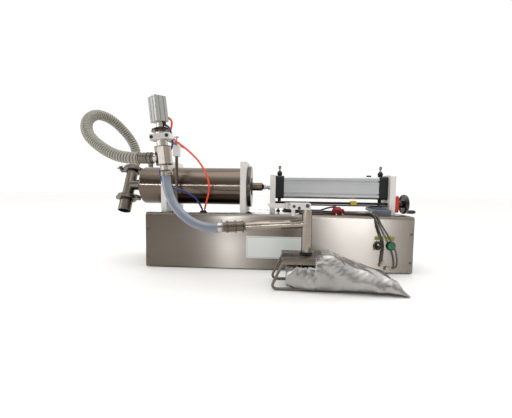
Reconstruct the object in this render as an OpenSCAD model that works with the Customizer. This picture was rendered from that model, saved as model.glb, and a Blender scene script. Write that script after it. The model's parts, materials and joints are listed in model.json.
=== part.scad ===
// Semi-automatic piston filler with a bag-in-box filling head, a nozzle on a stand
// and a wire rack with a foil bag. Millimetres. The origin is at floor level under
// the middle of the cabinet: +X to the handwheel, -Y to the operator, +Z up.

/* [Cabinet] */
// Length of the cabinet over its end panels
cabinet_length = 830; // [760:5:900]
// Depth of the cabinet
cabinet_depth = 236; // [226:2:280]
// Height of the cabinet top above the floor
cabinet_height = 175; // [150:5:220]
// Thickness of the folded sheet
sheet = 2; // [1.5:0.5:3]
// Outer radius of the two long top bends
top_bend = 11; // [6:1:16]
// Width of the rim on each end panel
panel_rim = 14; // [12:1:20]
// Height of the rubber feet
foot_height = 3; // [2:1:12]
// Diameter of the rubber feet
foot_diameter = 26; // [20:2:40]

/* [Supports] */
// Thickness of the four upright plates
plate_thickness = 18; // [16:1:22]
// Width of the two plates round the product cylinder
cylinder_plate_width = 182; // [160:2:210]
// Height of those plates above the cabinet
cylinder_plate_height = 167; // [160:1:185]
// Width of the two plates at the drive cylinder
drive_plate_width = 111; // [106:1:130]
// Height of those plates above the cabinet
drive_plate_height = 128; // [126:1:145]
// Height of the piston line above the cabinet
axis_rise = 85.5; // [84:0.5:92]
// Size of the fixing bolts
bolt_size = 8; // [6:1:10]

/* [Product cylinder] */
// Outside diameter of the product cylinder
cylinder_diameter = 126; // [110:1:132]
// Wall of the product cylinder
cylinder_wall = 3; // [2:0.5:4]
// Length of its straight part
cylinder_length = 357; // [340:1:370]
// Length of its cone
cone_length = 27; // [20:1:45]
// Where the straight part ends at the rear
cylinder_rear_x = -100; // [-110:1:-96]
// Centre of the left plate
first_plate_x = -366; // [-380:1:-340]
// Diameter of the rear cap
rear_cap_diameter = 140; // [134:1:150]
// Thickness of the rear cap
rear_cap_thickness = 13; // [8:1:16]
// Diameter of the product rod
product_rod_diameter = 28; // [24:1:32]
// Thickness of the product piston
product_piston_thickness = 25; // [20:1:34]

/* [Drive cylinder] */
// Front face of the drive cylinder
drive_x = -5; // [-8:1:4]
// Side of the square end caps
cap_size = 76; // [74:1:84]
// Length of each end cap
cap_length = 28; // [24:1:32]
// Side of the extruded barrel
barrel_size = 74; // [72:1:76]
// Length of the barrel
barrel_length = 311; // [306:1:320]
// Bore of the barrel
drive_bore = 63; // [50:1:64]
// Diameter of the drive rod
drive_rod_diameter = 20; // [16:1:22]
// Thickness of the drive piston
drive_piston_thickness = 30; // [20:1:34]
// Full stroke of both pistons
stroke = 250; // [200:5:260]

/* [Stroke setting] */
// Diameter of the setting spindle
spindle_diameter = 8; // [6:1:10]
// Height of the spindle above the cabinet
spindle_rise = 34.5; // [33.5:0.5:38]
// Spindle centre in front of the piston line
spindle_y = -36; // [-38:1:-30]
// Diameter of the handwheel
handwheel_diameter = 62; // [56:1:64]
// Thickness of the handwheel rim
handwheel_width = 11; // [9:1:14]
// Diameter of the crank grip
grip_diameter = 11; // [9:1:13]
// Length of the crank grip
grip_length = 30; // [24:1:40]
// Radius of the crank pin
crank_radius = 25; // [20:1:25]
// Height of the position indicator
indicator_height = 54; // [40:1:58]
// Width of the position indicator
indicator_width = 34; // [28:1:38]
// Depth of the position indicator
indicator_depth = 12.5; // [10:0.5:16]
// Middle of the pointer carriage
carriage_x = 252; // [200:1:280]

/* [Tee and hoses] */
// Outside diameter of the tee pipes
pipe_diameter = 38; // [34:1:42]
// Wall of the tee pipes
pipe_wall = 2; // [1.5:0.5:3]
// Lean of the tee, its foot to the front
tee_tilt = 26; // [15:1:35]
// Distance from the cone to the middle of the tee
branch_length = 38.8; // [34:0.2:50]
// Upper arm of the tee
tee_up = 60; // [56:1:70]
// Lower arm of the tee
tee_down = 48; // [46:1:58]
// Diameter of the clamp flanges
flange_diameter = 50.5; // [48:0.5:54]
// Diameter of the clamp rings
clamp_diameter = 64; // [62:1:68]
// Length of the suction pipe under its flange
suction_length = 48; // [40:1:60]
// Outside diameter of the suction pipe
suction_diameter = 42; // [38:1:44]
// Outside diameter of the spiral hose
spiral_hose_diameter = 34; // [30:1:36]
// Outside diameter of the fill hose
fill_hose_diameter = 25; // [22:1:26]

/* [Nozzle] */
// Lean of the nozzle to the left
nozzle_lean = 6.6; // [4:0.2:8]
// Height of the cross rod above the floor
cross_rod_z = 393; // [385:1:400]
// Diameter of the cross rod
cross_rod_diameter = 9; // [8:1:10]
// Diameter of the stand rod
stand_rod_diameter = 10; // [9:1:12]
// Width of the square actuator
actuator_width = 37; // [34:1:40]
// Height of the actuator
actuator_height = 69; // [60:1:80]
// Diameter of the nozzle neck
neck_diameter = 30.4; // [28:0.2:32]
// Distance across the flats of the nozzle body
body_size = 42; // [40:1:46]
// Height of the nozzle body
body_height = 49.5; // [44:0.5:56]
// Width of the clamp block
clamp_block_width = 57; // [54:1:64]
// Height of the clamp block
clamp_block_height = 16; // [14:1:20]
// Valve travel inside the nozzle
valve_travel = 15; // [8:1:16]

/* [Filling head] */
// Diameter of the head tube
head_tube_diameter = 27; // [25:1:32]
// Wall of the head tube
head_tube_wall = 1.5; // [1:0.5:3]
// Top of the head tube above the floor
head_tube_top = 202.5; // [195:0.5:215]
// Diameter of the side pipe at the head
side_pipe_diameter = 24; // [20:1:26]
// Length of the head block
head_block_length = 51; // [46:1:60]
// Depth of the head block
head_block_depth = 46; // [40:1:54]
// Height of the head block
head_block_height = 16; // [14:1:20]
// Reach of the lever arm from its pin
lever_reach = 51; // [40:1:70]

/* [Rack and bag] */
// Height of the rack plate above the floor
rack_height = 84; // [80:1:90]
// Length of the rack plate
rack_plate_length = 126; // [120:2:150]
// Diameter of the rack wire
wire_diameter = 7; // [6:0.5:8]
// Distance between the two wire frames
rack_spread = 89; // [86:1:110]
// Outward reach of the rack feet
rack_splay = 35; // [25:1:45]
// Diameter of the bag spout
spout_diameter = 26; // [22:1:28]

/* [Panel] */
// Diameter of the selector and button bezels
bezel_diameter = 29; // [26:1:30]
// Height of the selector and button
control_z = 86; // [80:1:92]
// Centre of the selector
selector_x = 309; // [300:1:312]
// Centre of the start button
button_x = 347; // [344:1:352]
// Diameter of the start button cap
button_diameter = 21; // [18:1:22]
// Length of the foot pedal
pedal_length = 76; // [70:1:80]
// Width of the foot pedal
pedal_width = 56; // [50:1:58]
// Length of the name plate
name_plate_length = 182; // [150:2:190]
// Height of the name plate
name_plate_height = 69; // [50:1:80]

/* [Hidden] */
$fn = 48;
// running clearance on a radius
fit = 0.05;
// clearance between soft pieces and their neighbours
soft = 0.3;
cord_r = 2.75;
air_r = 3;
top = cabinet_height;
floor_plate = foot_height + sheet;
front = -cabinet_depth / 2;
axis_z = top + axis_rise;
spindle_z = top + spindle_rise;
cylinder_front_x = cylinder_rear_x - cylinder_length;
tee_x = cylinder_front_x - cone_length - branch_length;
barrel_x = drive_x + cap_length;
rear_cap_x = barrel_x + barrel_length;
drive_end_x = rear_cap_x + cap_length;
front_plate_x = drive_x - plate_thickness;
spigot = 8;
boss_radius = 22.5;
drive_piston_x = rear_cap_x - spigot - 2 - drive_piston_thickness;
coupling_x = drive_x - 47;
coupling_length = 21;
drive_rod_x = coupling_x + coupling_length;
product_piston_x = cylinder_rear_x - 12 - 13 - product_piston_thickness;
bolt_offset = 28.25;
bolt_head = bolt_size * 1.625;
plate_bolt_y = [60, 35];
indicator_x = drive_end_x + plate_thickness;
handwheel_x = indicator_x + indicator_depth + 1.5;
wheel_end_x = handwheel_x + handwheel_width;
rail_height = 4;
rail_width = 16;
rail_z = spindle_z - spindle_diameter / 2 - 1 - rail_height;
carriage_length = 20;
gasket = 2;
flange = 3;
clamp_width = 14;
wing_x = 40;
nozzle_x = -325;
nozzle_y = -215;
stand_y = -85;
block_front = 20;
block_back = 30;
seal_top = clamp_block_height / 2 + 5;
ring_height = 11;
actuator_z = 41;
body_top = -26.5;
body_bottom = body_top - body_height;
neck_end = body_bottom - 16;
inlet_z = 335;
inlet_end = -388;
sleeve_end = inlet_end + 41;
head_x = 77;
head_y = -258;
spout_flange = 3;
head_seal = 4;
spout_length = 24;
tube_bottom = rack_height + spout_flange + head_seal;
union_x = -141;
union_z = 150.9;
union_slope = 3.6;
union_length = 59;
side_pipe_length = (head_x - union_x) / cos(union_slope) - union_length;
block_x = 32.5;
hinge_x = block_x - 8;
rack_front = head_y - rack_spread / 2;
rack_back = head_y + rack_spread / 2;
plate_x0 = head_x - rack_plate_length / 2;
plate_x1 = head_x + rack_plate_length / 2;
apron = 17;
pedal_x = drive_end_x - 65;
pedal_y = -97;
pedal_base_height = 6;
gland_x = 320;
gland_z = 29;
socket_x = 336;
socket_z = 18;
grommet_height = 6;
nozzle_grommet = [-239, -78];
drive_grommets = [[6, 14], [344, 14]];
reed_x = 304;
fitting_x = 13.8;
disc_diameter = 24;
disc_thickness = 3;
seat_bore = 20;
cone_end = [tee_x, 0, axis_z];

// corner points of an arc
function arc(cx, cy, r, a0, a1, n = 6) =
    [for (i = [0:n]) [cx + r * cos(a0 + (a1 - a0) * i / n), cy + r * sin(a0 + (a1 - a0) * i / n)]];
// rectangle round the origin with rounded corners
function rounded(w, h, r) = concat(
    arc(w / 2 - r, h / 2 - r, r, 0, 90), arc(-w / 2 + r, h / 2 - r, r, 90, 180),
    arc(-w / 2 + r, -h / 2 + r, r, 180, 270), arc(w / 2 - r, -h / 2 + r, r, 270, 360));
// cabinet section: flat foot, two rounded top corners
function hood(w, z0, z1, r) = concat(
    [[-w / 2, z0], [w / 2, z0]], arc(w / 2 - r, z1 - r, r, 0, 90), arc(-w / 2 + r, z1 - r, r, 90, 180));
function unit(v) = v / norm(v);
function tangent(p, i) = unit(p[min(i + 1, len(p) - 1)] - p[max(i - 1, 0)]);
function side(u, t) = unit(u - t * (u * t));
// smooth curve through the points, m steps between two of them
function curve(p, m) = concat([for (i = [0:len(p) - 2], j = [0:m - 1])
    let (a = p[max(i - 1, 0)], b = p[i], c = p[i + 1], d = p[min(i + 2, len(p) - 1)], t = j / m)
    0.5 * (2 * b + (c - a) * t + (2 * a - 5 * b + 4 * c - d) * t * t + (3 * b - a - 3 * c + d) * t * t * t)],
    [p[len(p) - 1]]);
function rings(p, r, n, u0) = [for (i = 0, t = tangent(p, 0), u = side(u0, t); i < len(p);
    i = i + 1, t = tangent(p, min(i, len(p) - 1)), u = side(u, t))
    for (k = [0:n - 1]) p[i] + r * (cos(360 * k / n) * u + sin(360 * k / n) * cross(t, u))];

// swept tube along points, with flat ends
module swept(p, r, n = 8, u0 = [1, 0.2, 0.1]) {
    last = (len(p) - 1) * n;
    polyhedron(
        points = rings(p, r, n, u0),
        faces = concat(
            [[for (k = [0:n - 1]) k]],
            [for (i = [0:len(p) - 2], k = [0:n - 1]) [i * n + k, (i + 1) * n + k, i * n + (k + 1) % n]],
            [for (i = [0:len(p) - 2], k = [0:n - 1])
                [(i + 1) * n + k, (i + 1) * n + (k + 1) % n, i * n + (k + 1) % n]],
            [[for (k = [n - 1:-1:0]) last + k]]),
        convexity = 6);
}

module along_x(x0, x1) {
    translate([x0, 0, 0]) rotate([90, 0, 90]) linear_extrude(x1 - x0) children();
}

module rod_x(x0, x1, d) {
    translate([x0, 0, 0]) rotate([0, 90, 0]) cylinder(d = d, h = x1 - x0);
}

module on_axis() {
    translate([0, 0, axis_z]) children();
}

module tee_frame() {
    translate(cone_end) rotate([-tee_tilt, 0, 0]) children();
}

module nozzle_frame() {
    translate([nozzle_x, nozzle_y, cross_rod_z]) rotate([0, -nozzle_lean, 0]) children();
}

// pipe line of the filling head, from the hose end to the head tube
module pipe_frame() {
    translate([union_x, head_y, union_z]) rotate([0, 90 - union_slope, 0]) children();
}

module plate_bolt_places() {
    for (x = [first_plate_x, cylinder_rear_x - plate_thickness / 2], s = [-1, 1])
        translate([x, s * plate_bolt_y[0], 0]) children();
    for (x = [front_plate_x + plate_thickness / 2, drive_end_x + plate_thickness / 2], s = [-1, 1])
        translate([x, s * plate_bolt_y[1], 0]) children();
}

module drive_bolt_places() {
    for (a = [-1, 1], b = [-1, 1])
        translate([0, a * bolt_offset, b * bolt_offset]) children();
}

module panel_screw_places() {
    for (sx = [-1, 1], sy = [-1, 1], z = [34, 122])
        translate([sx * (cabinet_length / 2 - panel_rim / 2), sy * cabinet_depth / 2, z])
            rotate([-sy * 90, 0, 0]) children();
}

module cabinet_shell() {
    color("#b9b2a6") difference() {
        along_x(-cabinet_length / 2 + panel_rim + 0.1, cabinet_length / 2 - panel_rim - 0.1)
            difference() {
                polygon(hood(cabinet_depth, floor_plate, top, top_bend));
                translate([0, -1]) polygon(hood(cabinet_depth - 2 * sheet, floor_plate, top - sheet + 1,
                    top_bend - sheet));
            }
        plate_bolt_places() translate([0, 0, top - sheet - 1]) cylinder(d = bolt_size + 0.4, h = sheet + 2);
        for (x = [selector_x, button_x])
            translate([x, front - 1, control_z]) rotate([-90, 0, 0]) cylinder(d = 22.2, h = sheet + 2);
        translate([gland_x, front - 1, gland_z]) rotate([-90, 0, 0]) cylinder(d = 10.2, h = sheet + 2);
        translate([socket_x, front - 1, socket_z]) rotate([-90, 0, 0]) cylinder(d = 8.2, h = sheet + 2);
        translate([nozzle_grommet.x, nozzle_grommet.y, top - sheet - 1]) cylinder(d = 18.2, h = sheet + 2);
        for (g = drive_grommets) translate([g.x, g.y, top - sheet - 1]) cylinder(d = 10.2, h = sheet + 2);
        translate([nozzle_x, stand_y, top - sheet - 1])
            cylinder(d = stand_rod_diameter + 2 * fit, h = sheet + 2);
    }
}

module cabinet_panels() {
    color("#8f8b84") translate([-cabinet_length / 2, -cabinet_depth / 2, foot_height])
        cube([cabinet_length, cabinet_depth, sheet]);
    color("#a9a49b") for (s = [-1, 1]) difference() {
        mirror([s < 0 ? 1 : 0, 0, 0]) {
            along_x(cabinet_length / 2 - panel_rim, cabinet_length / 2 - sheet) difference() {
                polygon(hood(cabinet_depth, floor_plate, top, top_bend));
                translate([0, -1]) polygon(hood(cabinet_depth - 2 * sheet, floor_plate, top - sheet + 1,
                    top_bend - sheet));
            }
            along_x(cabinet_length / 2 - sheet, cabinet_length / 2)
                polygon(hood(cabinet_depth, floor_plate, top, top_bend));
        }
        panel_screw_places() translate([0, 0, -sheet - 1]) cylinder(d = 4.2, h = sheet + 2);
    }
}

module rubber_feet() {
    color("#202020") for (x = [-1, 1], y = [-1, 1])
        translate([x * (cabinet_length / 2 - 45), y * (cabinet_depth / 2 - 28), 0])
            cylinder(d1 = foot_diameter - 4, d2 = foot_diameter, h = foot_height);
}

// socket head screw: head below z 0, shank above it
module cap_screw(size, length) {
    difference() {
        translate([0, 0, -size]) cylinder(d = size * 1.625, h = size);
        translate([0, 0, -size - 1]) cylinder(d = size * 0.9, h = size * 0.5 + 1, $fn = 6);
    }
    cylinder(d = size, h = length);
}

module machine_screws() {
    color("#9a9a98") {
        panel_screw_places() {
            cylinder(d1 = 7.5, d2 = 5, h = 2.2);
            translate([0, 0, -8]) cylinder(d = 4, h = 8);
        }
        plate_bolt_places() translate([0, 0, top - sheet]) cap_screw(bolt_size, 24);
        on_axis() drive_bolt_places() {
            translate([front_plate_x + bolt_size + 1, 0, 0]) rotate([0, 90, 0])
                cap_screw(bolt_size, plate_thickness + 2);
            translate([indicator_x - bolt_size - 1, 0, 0]) rotate([0, -90, 0])
                cap_screw(bolt_size, plate_thickness + 2);
        }
        nozzle_frame() for (s = [-1, 1])
            translate([s * (neck_diameter / 2 + 6), 6.5 - block_front, 0]) rotate([-90, 0, 0]) cap_screw(6, 29);
        for (p = [[9, 8, 5], [22, 4, 5], [43, 10, 6]])
            translate([block_x + p[0], head_y - head_block_depth / 2 + p[2], head_tube_top + p[1]])
                rotate([-90, 0, 0]) cap_screw(p[2], 12);
    }
}

module upright(width, height) {
    polygon([[-width / 2, top], [width / 2, top], [width / 2, top + height - 3], [width / 2 - 3, top + height],
        [3 - width / 2, top + height], [-width / 2, top + height - 3]]);
}

module support_plates() {
    color("#c9c9c6") difference() {
        union() {
            for (x = [first_plate_x - plate_thickness / 2, cylinder_rear_x - plate_thickness])
                along_x(x, x + plate_thickness) upright(cylinder_plate_width, cylinder_plate_height);
            for (x = [front_plate_x, drive_end_x])
                along_x(x, x + plate_thickness) upright(drive_plate_width, drive_plate_height);
        }
        on_axis() {
            rod_x(first_plate_x - plate_thickness, cylinder_rear_x + 1, cylinder_diameter + 2 * fit);
            rod_x(front_plate_x - 1, drive_x + 1, 2 * boss_radius + 2 * fit);
            rod_x(drive_end_x - 1, drive_end_x + 5, 2 * boss_radius + 2 * fit);
            drive_bolt_places() {
                rod_x(front_plate_x - 1, front_plate_x + bolt_size + 1, bolt_head + 0.5);
                rod_x(front_plate_x - 1, drive_x + 1, bolt_size + 2 * fit);
                rod_x(indicator_x - bolt_size - 1, indicator_x + 1, bolt_head + 0.5);
                rod_x(drive_end_x - 1, indicator_x + 1, bolt_size + 2 * fit);
            }
        }
        plate_bolt_places() translate([0, 0, top - 1]) cylinder(d = bolt_size + 2 * fit, h = 24);
        translate([0, spindle_y, spindle_z]) rod_x(front_plate_x + 6, indicator_x + 1, spindle_diameter + 2 * fit);
    }
}

module product_cylinder() {
    r = cylinder_diameter / 2;
    p = pipe_diameter / 2;
    color("#a59c8e") on_axis() rotate([0, 90, 0]) rotate_extrude($fn = 96) polygon([
        [r - cylinder_wall, cylinder_front_x], [r, cylinder_front_x - 2], [r, cylinder_rear_x],
        [r - cylinder_wall, cylinder_rear_x]]);
    color("#a59c8e") on_axis() rotate([0, 90, 0]) rotate_extrude($fn = 96) polygon([
        [p - pipe_wall, cylinder_front_x - cone_length], [p, cylinder_front_x - cone_length],
        [p + 6, cylinder_front_x - cone_length + 2], [r - 2, cylinder_front_x - 6], [r, cylinder_front_x - 2],
        [r - cylinder_wall, cylinder_front_x], [p + 4, cylinder_front_x - cone_length + 5]]);
}

module rear_cap() {
    color("#4a4744") on_axis() difference() {
        union() {
            rod_x(cylinder_rear_x, cylinder_rear_x + rear_cap_thickness, rear_cap_diameter);
            rod_x(cylinder_rear_x - 12, cylinder_rear_x, cylinder_diameter - 2 * cylinder_wall - 2 * fit);
            rod_x(cylinder_rear_x + rear_cap_thickness, cylinder_rear_x + rear_cap_thickness + 3, 60);
        }
        rod_x(cylinder_rear_x - 13, cylinder_rear_x + rear_cap_thickness + 4, product_rod_diameter + 2);
    }
}

module product_piston() {
    color("#e4e2da") on_axis() difference() {
        rod_x(product_piston_x, product_piston_x + product_piston_thickness,
            cylinder_diameter - 2 * cylinder_wall - 2);
        for (x = [4, product_piston_thickness - 9]) difference() {
            rod_x(product_piston_x + x, product_piston_x + x + 5, cylinder_diameter);
            rod_x(product_piston_x + x - 1, product_piston_x + x + 6, cylinder_diameter - 2 * cylinder_wall - 12);
        }
    }
}

module piston_seals() {
    color("#1f1f1f") on_axis() for (x = [4, product_piston_thickness - 9]) difference() {
        rod_x(product_piston_x + x + 0.1, product_piston_x + x + 4.9,
            cylinder_diameter - 2 * cylinder_wall - 2 * fit);
        rod_x(product_piston_x + x - 1, product_piston_x + x + 6,
            cylinder_diameter - 2 * cylinder_wall - 12 + 2 * fit);
    }
}

module product_rod() {
    r = product_rod_diameter / 2;
    color("#d6d6d6") on_axis() {
        rod_x(product_piston_x + product_piston_thickness, coupling_x, product_rod_diameter);
        rotate([0, 90, 0]) rotate_extrude() polygon([
            [0, coupling_x], [r, coupling_x], [7, coupling_x + 7], [5, coupling_x + 7.5], [5, coupling_x + 14],
            [5, drive_rod_x], [0, drive_rod_x]]);
        translate([coupling_x + 8, 0, 0]) rotate([0, 90, 0]) cylinder(d = 18, h = 5.5, $fn = 6);
        intersection() {
            translate([drive_rod_x - 3.5, 0, 0]) sphere(d = 15);
            rod_x(coupling_x + 14, drive_rod_x, 16);
        }
    }
}

module drive_rod() {
    color("#cfcfcf") on_axis() {
        rod_x(drive_rod_x, drive_piston_x, drive_rod_diameter);
        rod_x(drive_piston_x, drive_piston_x + drive_piston_thickness, drive_bore - 2 * fit);
    }
}

module drive_barrel() {
    color("#c3c5c6") on_axis() difference() {
        along_x(barrel_x, rear_cap_x) difference() {
            polygon(rounded(barrel_size, barrel_size, 9));
            for (a = [0:90:270]) rotate(a) {
                for (s = [-1, 1]) {
                    translate([s * 21 - 2.6, barrel_size / 2 - 4]) square([5.2, 5]);
                    translate([s * 21 - 4, barrel_size / 2 - 6]) square([8, 3]);
                }
                translate([-13, barrel_size / 2 - 1.5]) square([26, 2]);
            }
        }
        rod_x(barrel_x - 1, rear_cap_x + 1, drive_bore);
    }
}

module drive_caps() {
    color("#2c3134") on_axis() {
        difference() {
            union() {
                along_x(drive_x, barrel_x) polygon(rounded(cap_size, cap_size, 8));
                rod_x(drive_x - 12, drive_x, 2 * boss_radius);
                rod_x(barrel_x, barrel_x + spigot, drive_bore - 2 * fit);
            }
            rod_x(drive_x - 13, barrel_x + spigot + 1, drive_rod_diameter + 2 * fit);
            drive_bolt_places() rod_x(drive_x - 1, drive_x + 16, bolt_size + 2 * fit);
        }
        difference() {
            union() {
                along_x(rear_cap_x, drive_end_x) polygon(rounded(cap_size, cap_size, 8));
                rod_x(drive_end_x, drive_end_x + 4, 2 * boss_radius);
                rod_x(rear_cap_x - spigot, rear_cap_x, drive_bore - 2 * fit);
            }
            drive_bolt_places() rod_x(drive_end_x - 16, drive_end_x + 1, bolt_size + 2 * fit);
        }
    }
}

module flow_places() {
    for (x = [drive_x + cap_length / 2, drive_end_x - cap_length / 2])
        translate([x, 0, axis_z + cap_size / 2]) children();
}

module flow_knob(x) {
    color("#9b9183") translate([x, 0, axis_z + cap_size / 2]) {
        translate([0, 0, 4]) cylinder(d = 5, h = 21);
        difference() {
            translate([0, 0, 24]) cylinder(d = 9.6, h = 11);
            for (a = [0:30:330]) rotate(a) translate([5, 0, 23]) cylinder(d = 1.4, h = 13, $fn = 16);
        }
    }
}

module flow_knob_front() {
    flow_knob(drive_x + cap_length / 2);
}

module flow_knob_rear() {
    flow_knob(drive_end_x - cap_length / 2);
}

module air_fittings() {
    color("#17191b") {
        flow_places() {
            rotate_extrude() polygon([
                [2.5 + fit, 3], [2.5 + fit, 18.5], [4, 18.5], [7, 14], [8.6, 12.5], [9, 9], [8, 4], [7, 0], [0, 0],
                [0, 3]]);
            translate([0, 0, -cap_size - 10]) cylinder(d = 11, h = 10);
        }
        translate([reed_x - 7, -23, axis_z + barrel_size / 2 + 0.1]) cube([14, 6, 5]);
        nozzle_frame() {
            translate([fitting_x, 0, actuator_z - 12]) cylinder(d = 7, h = 12);
            translate([fitting_x, 0, actuator_z - 8.5]) rotate([-90, 0, 0]) cylinder(d = 7, h = 14);
        }
        actuator_turn() translate([0, actuator_width / 2, 14]) rotate([-90, 0, 0]) cylinder(d = 9, h = 11);
        translate([nozzle_grommet.x, nozzle_grommet.y, 0]) {
            translate([0, 0, top]) cylinder(d1 = 24, d2 = 20, h = grommet_height);
            translate([0, 0, top - sheet - 2]) cylinder(d = 18, h = sheet + 2);
        }
        for (g = drive_grommets) translate([g.x, g.y, 0]) {
            translate([0, 0, top]) cylinder(d1 = 14, d2 = 12, h = grommet_height);
            translate([0, 0, top - sheet - 2]) cylinder(d = 10, h = sheet + 2);
        }
    }
}

module guide_rail() {
    color("#b4b4b2") translate([drive_x, spindle_y - rail_width / 2, rail_z])
        cube([drive_end_x - drive_x, rail_width, rail_height]);
}

module spindle() {
    color("#55504b") translate([0, spindle_y, spindle_z]) {
        rod_x(front_plate_x + 7, wheel_end_x - 3, spindle_diameter);
    }
}

module handwheel() {
    r = handwheel_diameter / 2;
    w = handwheel_width;
    color("#151515") translate([0, spindle_y, spindle_z]) {
        difference() {
            translate([handwheel_x, 0, 0]) rotate([0, 90, 0]) rotate_extrude($fn = 72) polygon([
                [0, 0], [9, 0], [9, 3], [r - 7, 3], [r - 6, 0.5], [r - 2, 0], [r, 2], [r, w - 3], [r - 3, w - 0.5],
                [r - 5, w - 0.5], [r - 7, w - 3], [11, w - 3], [9, w], [0, w]]);
            rod_x(handwheel_x - 1, wheel_end_x - 3 + 0.1, spindle_diameter + 2 * fit);
        }
        translate([0, 0, -crank_radius]) {
            rod_x(wheel_end_x - 3.5, wheel_end_x + 1.5 + grip_length, 5);
            rod_x(wheel_end_x + 1.3 + grip_length, wheel_end_x + 3 + grip_length, 8);
        }
    }
}

module crank_grip() {
    r = grip_diameter / 2;
    color("#1a1a1a") translate([wheel_end_x + 1, spindle_y, spindle_z - crank_radius]) rotate([0, 90, 0])
        rotate_extrude() polygon([[2.5 + fit, 0], [r - 1.5, 0], [r - 0.5, 3], [r, grip_length * 0.6],
            [r - 0.8, grip_length - 1.5], [r - 2, grip_length], [2.5 + fit, grip_length]]);
}

module position_indicator() {
    color("#d8321f") difference() {
        translate([0, spindle_y, spindle_z]) along_x(indicator_x, indicator_x + indicator_depth)
            polygon(rounded(indicator_width, indicator_height, 6));
        translate([0, spindle_y, spindle_z])
            rod_x(indicator_x - 1, indicator_x + indicator_depth + 1, spindle_diameter + 1);
    }
}

module pointer_carriage() {
    w = rail_width;
    color("#c8b52a") difference() {
        translate([carriage_x - carriage_length / 2, spindle_y - w / 2, rail_z + rail_height + fit])
            union() {
                cube([carriage_length, w, spindle_diameter + 3]);
                translate([2, 2, spindle_diameter + 2.5]) cube([carriage_length - 4, w - 4, 2.5]);
            }
        translate([0, spindle_y, spindle_z])
            rod_x(carriage_x - carriage_length, carriage_x + carriage_length, spindle_diameter + 2 * fit);
    }
}

module tee_pipes() {
    r = suction_diameter / 2;
    h = spiral_hose_diameter / 2;
    color("#8f8b84") tee_frame() {
        translate([0, 0, tee_up + gasket]) rotate_extrude() polygon([
            [h - pipe_wall - 1, 0], [flange_diameter / 2, 0], [flange_diameter / 2 - 1.5, flange], [h, flange],
            [h, 10], [h - pipe_wall - 1, 10]]);
        translate([0, 0, -tee_down - gasket]) mirror([0, 0, 1]) rotate_extrude() polygon([
            [pipe_diameter / 2 - pipe_wall, 0], [flange_diameter / 2, 0], [flange_diameter / 2 - 1.5, flange],
            [pipe_diameter / 2, flange], [pipe_diameter / 2, flange + 7], [r, flange + 10], [r, suction_length],
            [r - pipe_wall, suction_length], [r - pipe_wall, flange + 9], [pipe_diameter / 2 - pipe_wall, flange + 7]]);
    }
    color("#8a8680") difference() {
        tee_frame() {
            translate([0, 0, -tee_down]) cylinder(d = pipe_diameter, h = tee_up + tee_down);
            translate([0, 0, tee_up - flange]) cylinder(d1 = flange_diameter - 3, d2 = flange_diameter, h = flange);
            translate([0, 0, -tee_down]) cylinder(d1 = flange_diameter, d2 = flange_diameter - 3, h = flange);
            rotate([0, 90, 0]) cylinder(d = pipe_diameter - 1, h = branch_length);
        }
        tee_frame() {
            translate([0, 0, -tee_down - 1]) cylinder(d = pipe_diameter - 2 * pipe_wall, h = tee_up + tee_down + 2);
            rotate([0, 90, 0]) cylinder(d = pipe_diameter - 1 - 2 * pipe_wall, h = branch_length + 1);
        }
    }
}

module clamp_places(upper = true, lower = true) {
    tee_frame() {
        if (upper) translate([0, 0, tee_up + gasket / 2]) children();
        if (lower) translate([0, 0, -tee_down - gasket / 2]) mirror([1, 0, 0]) children();
    }
}

module tee_clamps() {
    r = clamp_diameter / 2;
    groove = flange_diameter / 2 + fit;
    grip = flange + gasket / 2 + fit;
    color("#77736e") clamp_places() {
        difference() {
            union() {
                rotate_extrude() polygon([
                    [pipe_diameter / 2 + 3.5, -clamp_width / 2], [r - 2, -clamp_width / 2], [r, -clamp_width / 2 + 2],
                    [r, clamp_width / 2 - 2], [r - 2, clamp_width / 2], [pipe_diameter / 2 + 3.5, clamp_width / 2],
                    [pipe_diameter / 2 + 3.5, grip], [groove, grip], [groove, -grip],
                    [pipe_diameter / 2 + 3.5, -grip]]);
                translate([-wing_x - 6, -9, -6]) cube([wing_x + 6 - r + 3, 18, 12]);
                translate([r - 3, -6, -5]) cube([8, 12, 10]);
            }
            translate([-wing_x - 7, -1.5, -clamp_width]) cube([wing_x + 7 - pipe_diameter / 2, 3, 2 * clamp_width]);
            translate([-wing_x, 10, 0]) rotate([90, 0, 0]) cylinder(d = 6.1, h = 20);
        }
        translate([-wing_x, 0, 0]) rotate([90, 0, 0]) {
            translate([0, 0, -12]) cylinder(d = 10, h = 3, $fn = 6);
            translate([0, 0, -9]) cylinder(d = 6, h = 31);
        }
    }
}

module wing_nut() {
    color("#8d8983") translate([-wing_x, 0, 0]) rotate([90, 0, 0]) difference() {
        union() {
            translate([0, 0, 9.3]) cylinder(d1 = 12, d2 = 9, h = 9);
            for (s = [0, 180]) rotate([0, 0, s + 35]) translate([0, -1.2, 0]) rotate([90, 0, 0]) translate([0, 0, -2.4])
                linear_extrude(2.4) polygon([[3, 13], [8.5, 16], [10.4, 20], [9, 22.5], [5, 21], [3.2, 17]]);
        }
        translate([0, 0, 8]) cylinder(d = 6.1, h = 16);
    }
}

module wing_nut_upper() {
    clamp_places(lower = false) wing_nut();
}

module wing_nut_lower() {
    clamp_places(upper = false) wing_nut();
}

module seal_rings() {
    color("#1d1d1d") {
        clamp_places() difference() {
            translate([0, 0, -gasket / 2]) cylinder(d = flange_diameter - 2, h = gasket);
            translate([0, 0, -gasket]) cylinder(d = seat_bore, h = 2 * gasket);
        }
        nozzle_frame() difference() {
            translate([0, 0, seal_top]) cylinder(d = 46, h = ring_height);
            translate([0, 0, seal_top - 1]) cylinder(d = 20 + 2 * fit, h = ring_height + 2);
        }
        translate([head_x, head_y, rack_height + spout_flange]) difference() {
            cylinder(d = head_tube_diameter + 3, h = head_seal);
            translate([0, 0, -1]) cylinder(d = head_tube_diameter - 2 * head_tube_wall, h = head_seal + 2);
        }
    }
}

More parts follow.
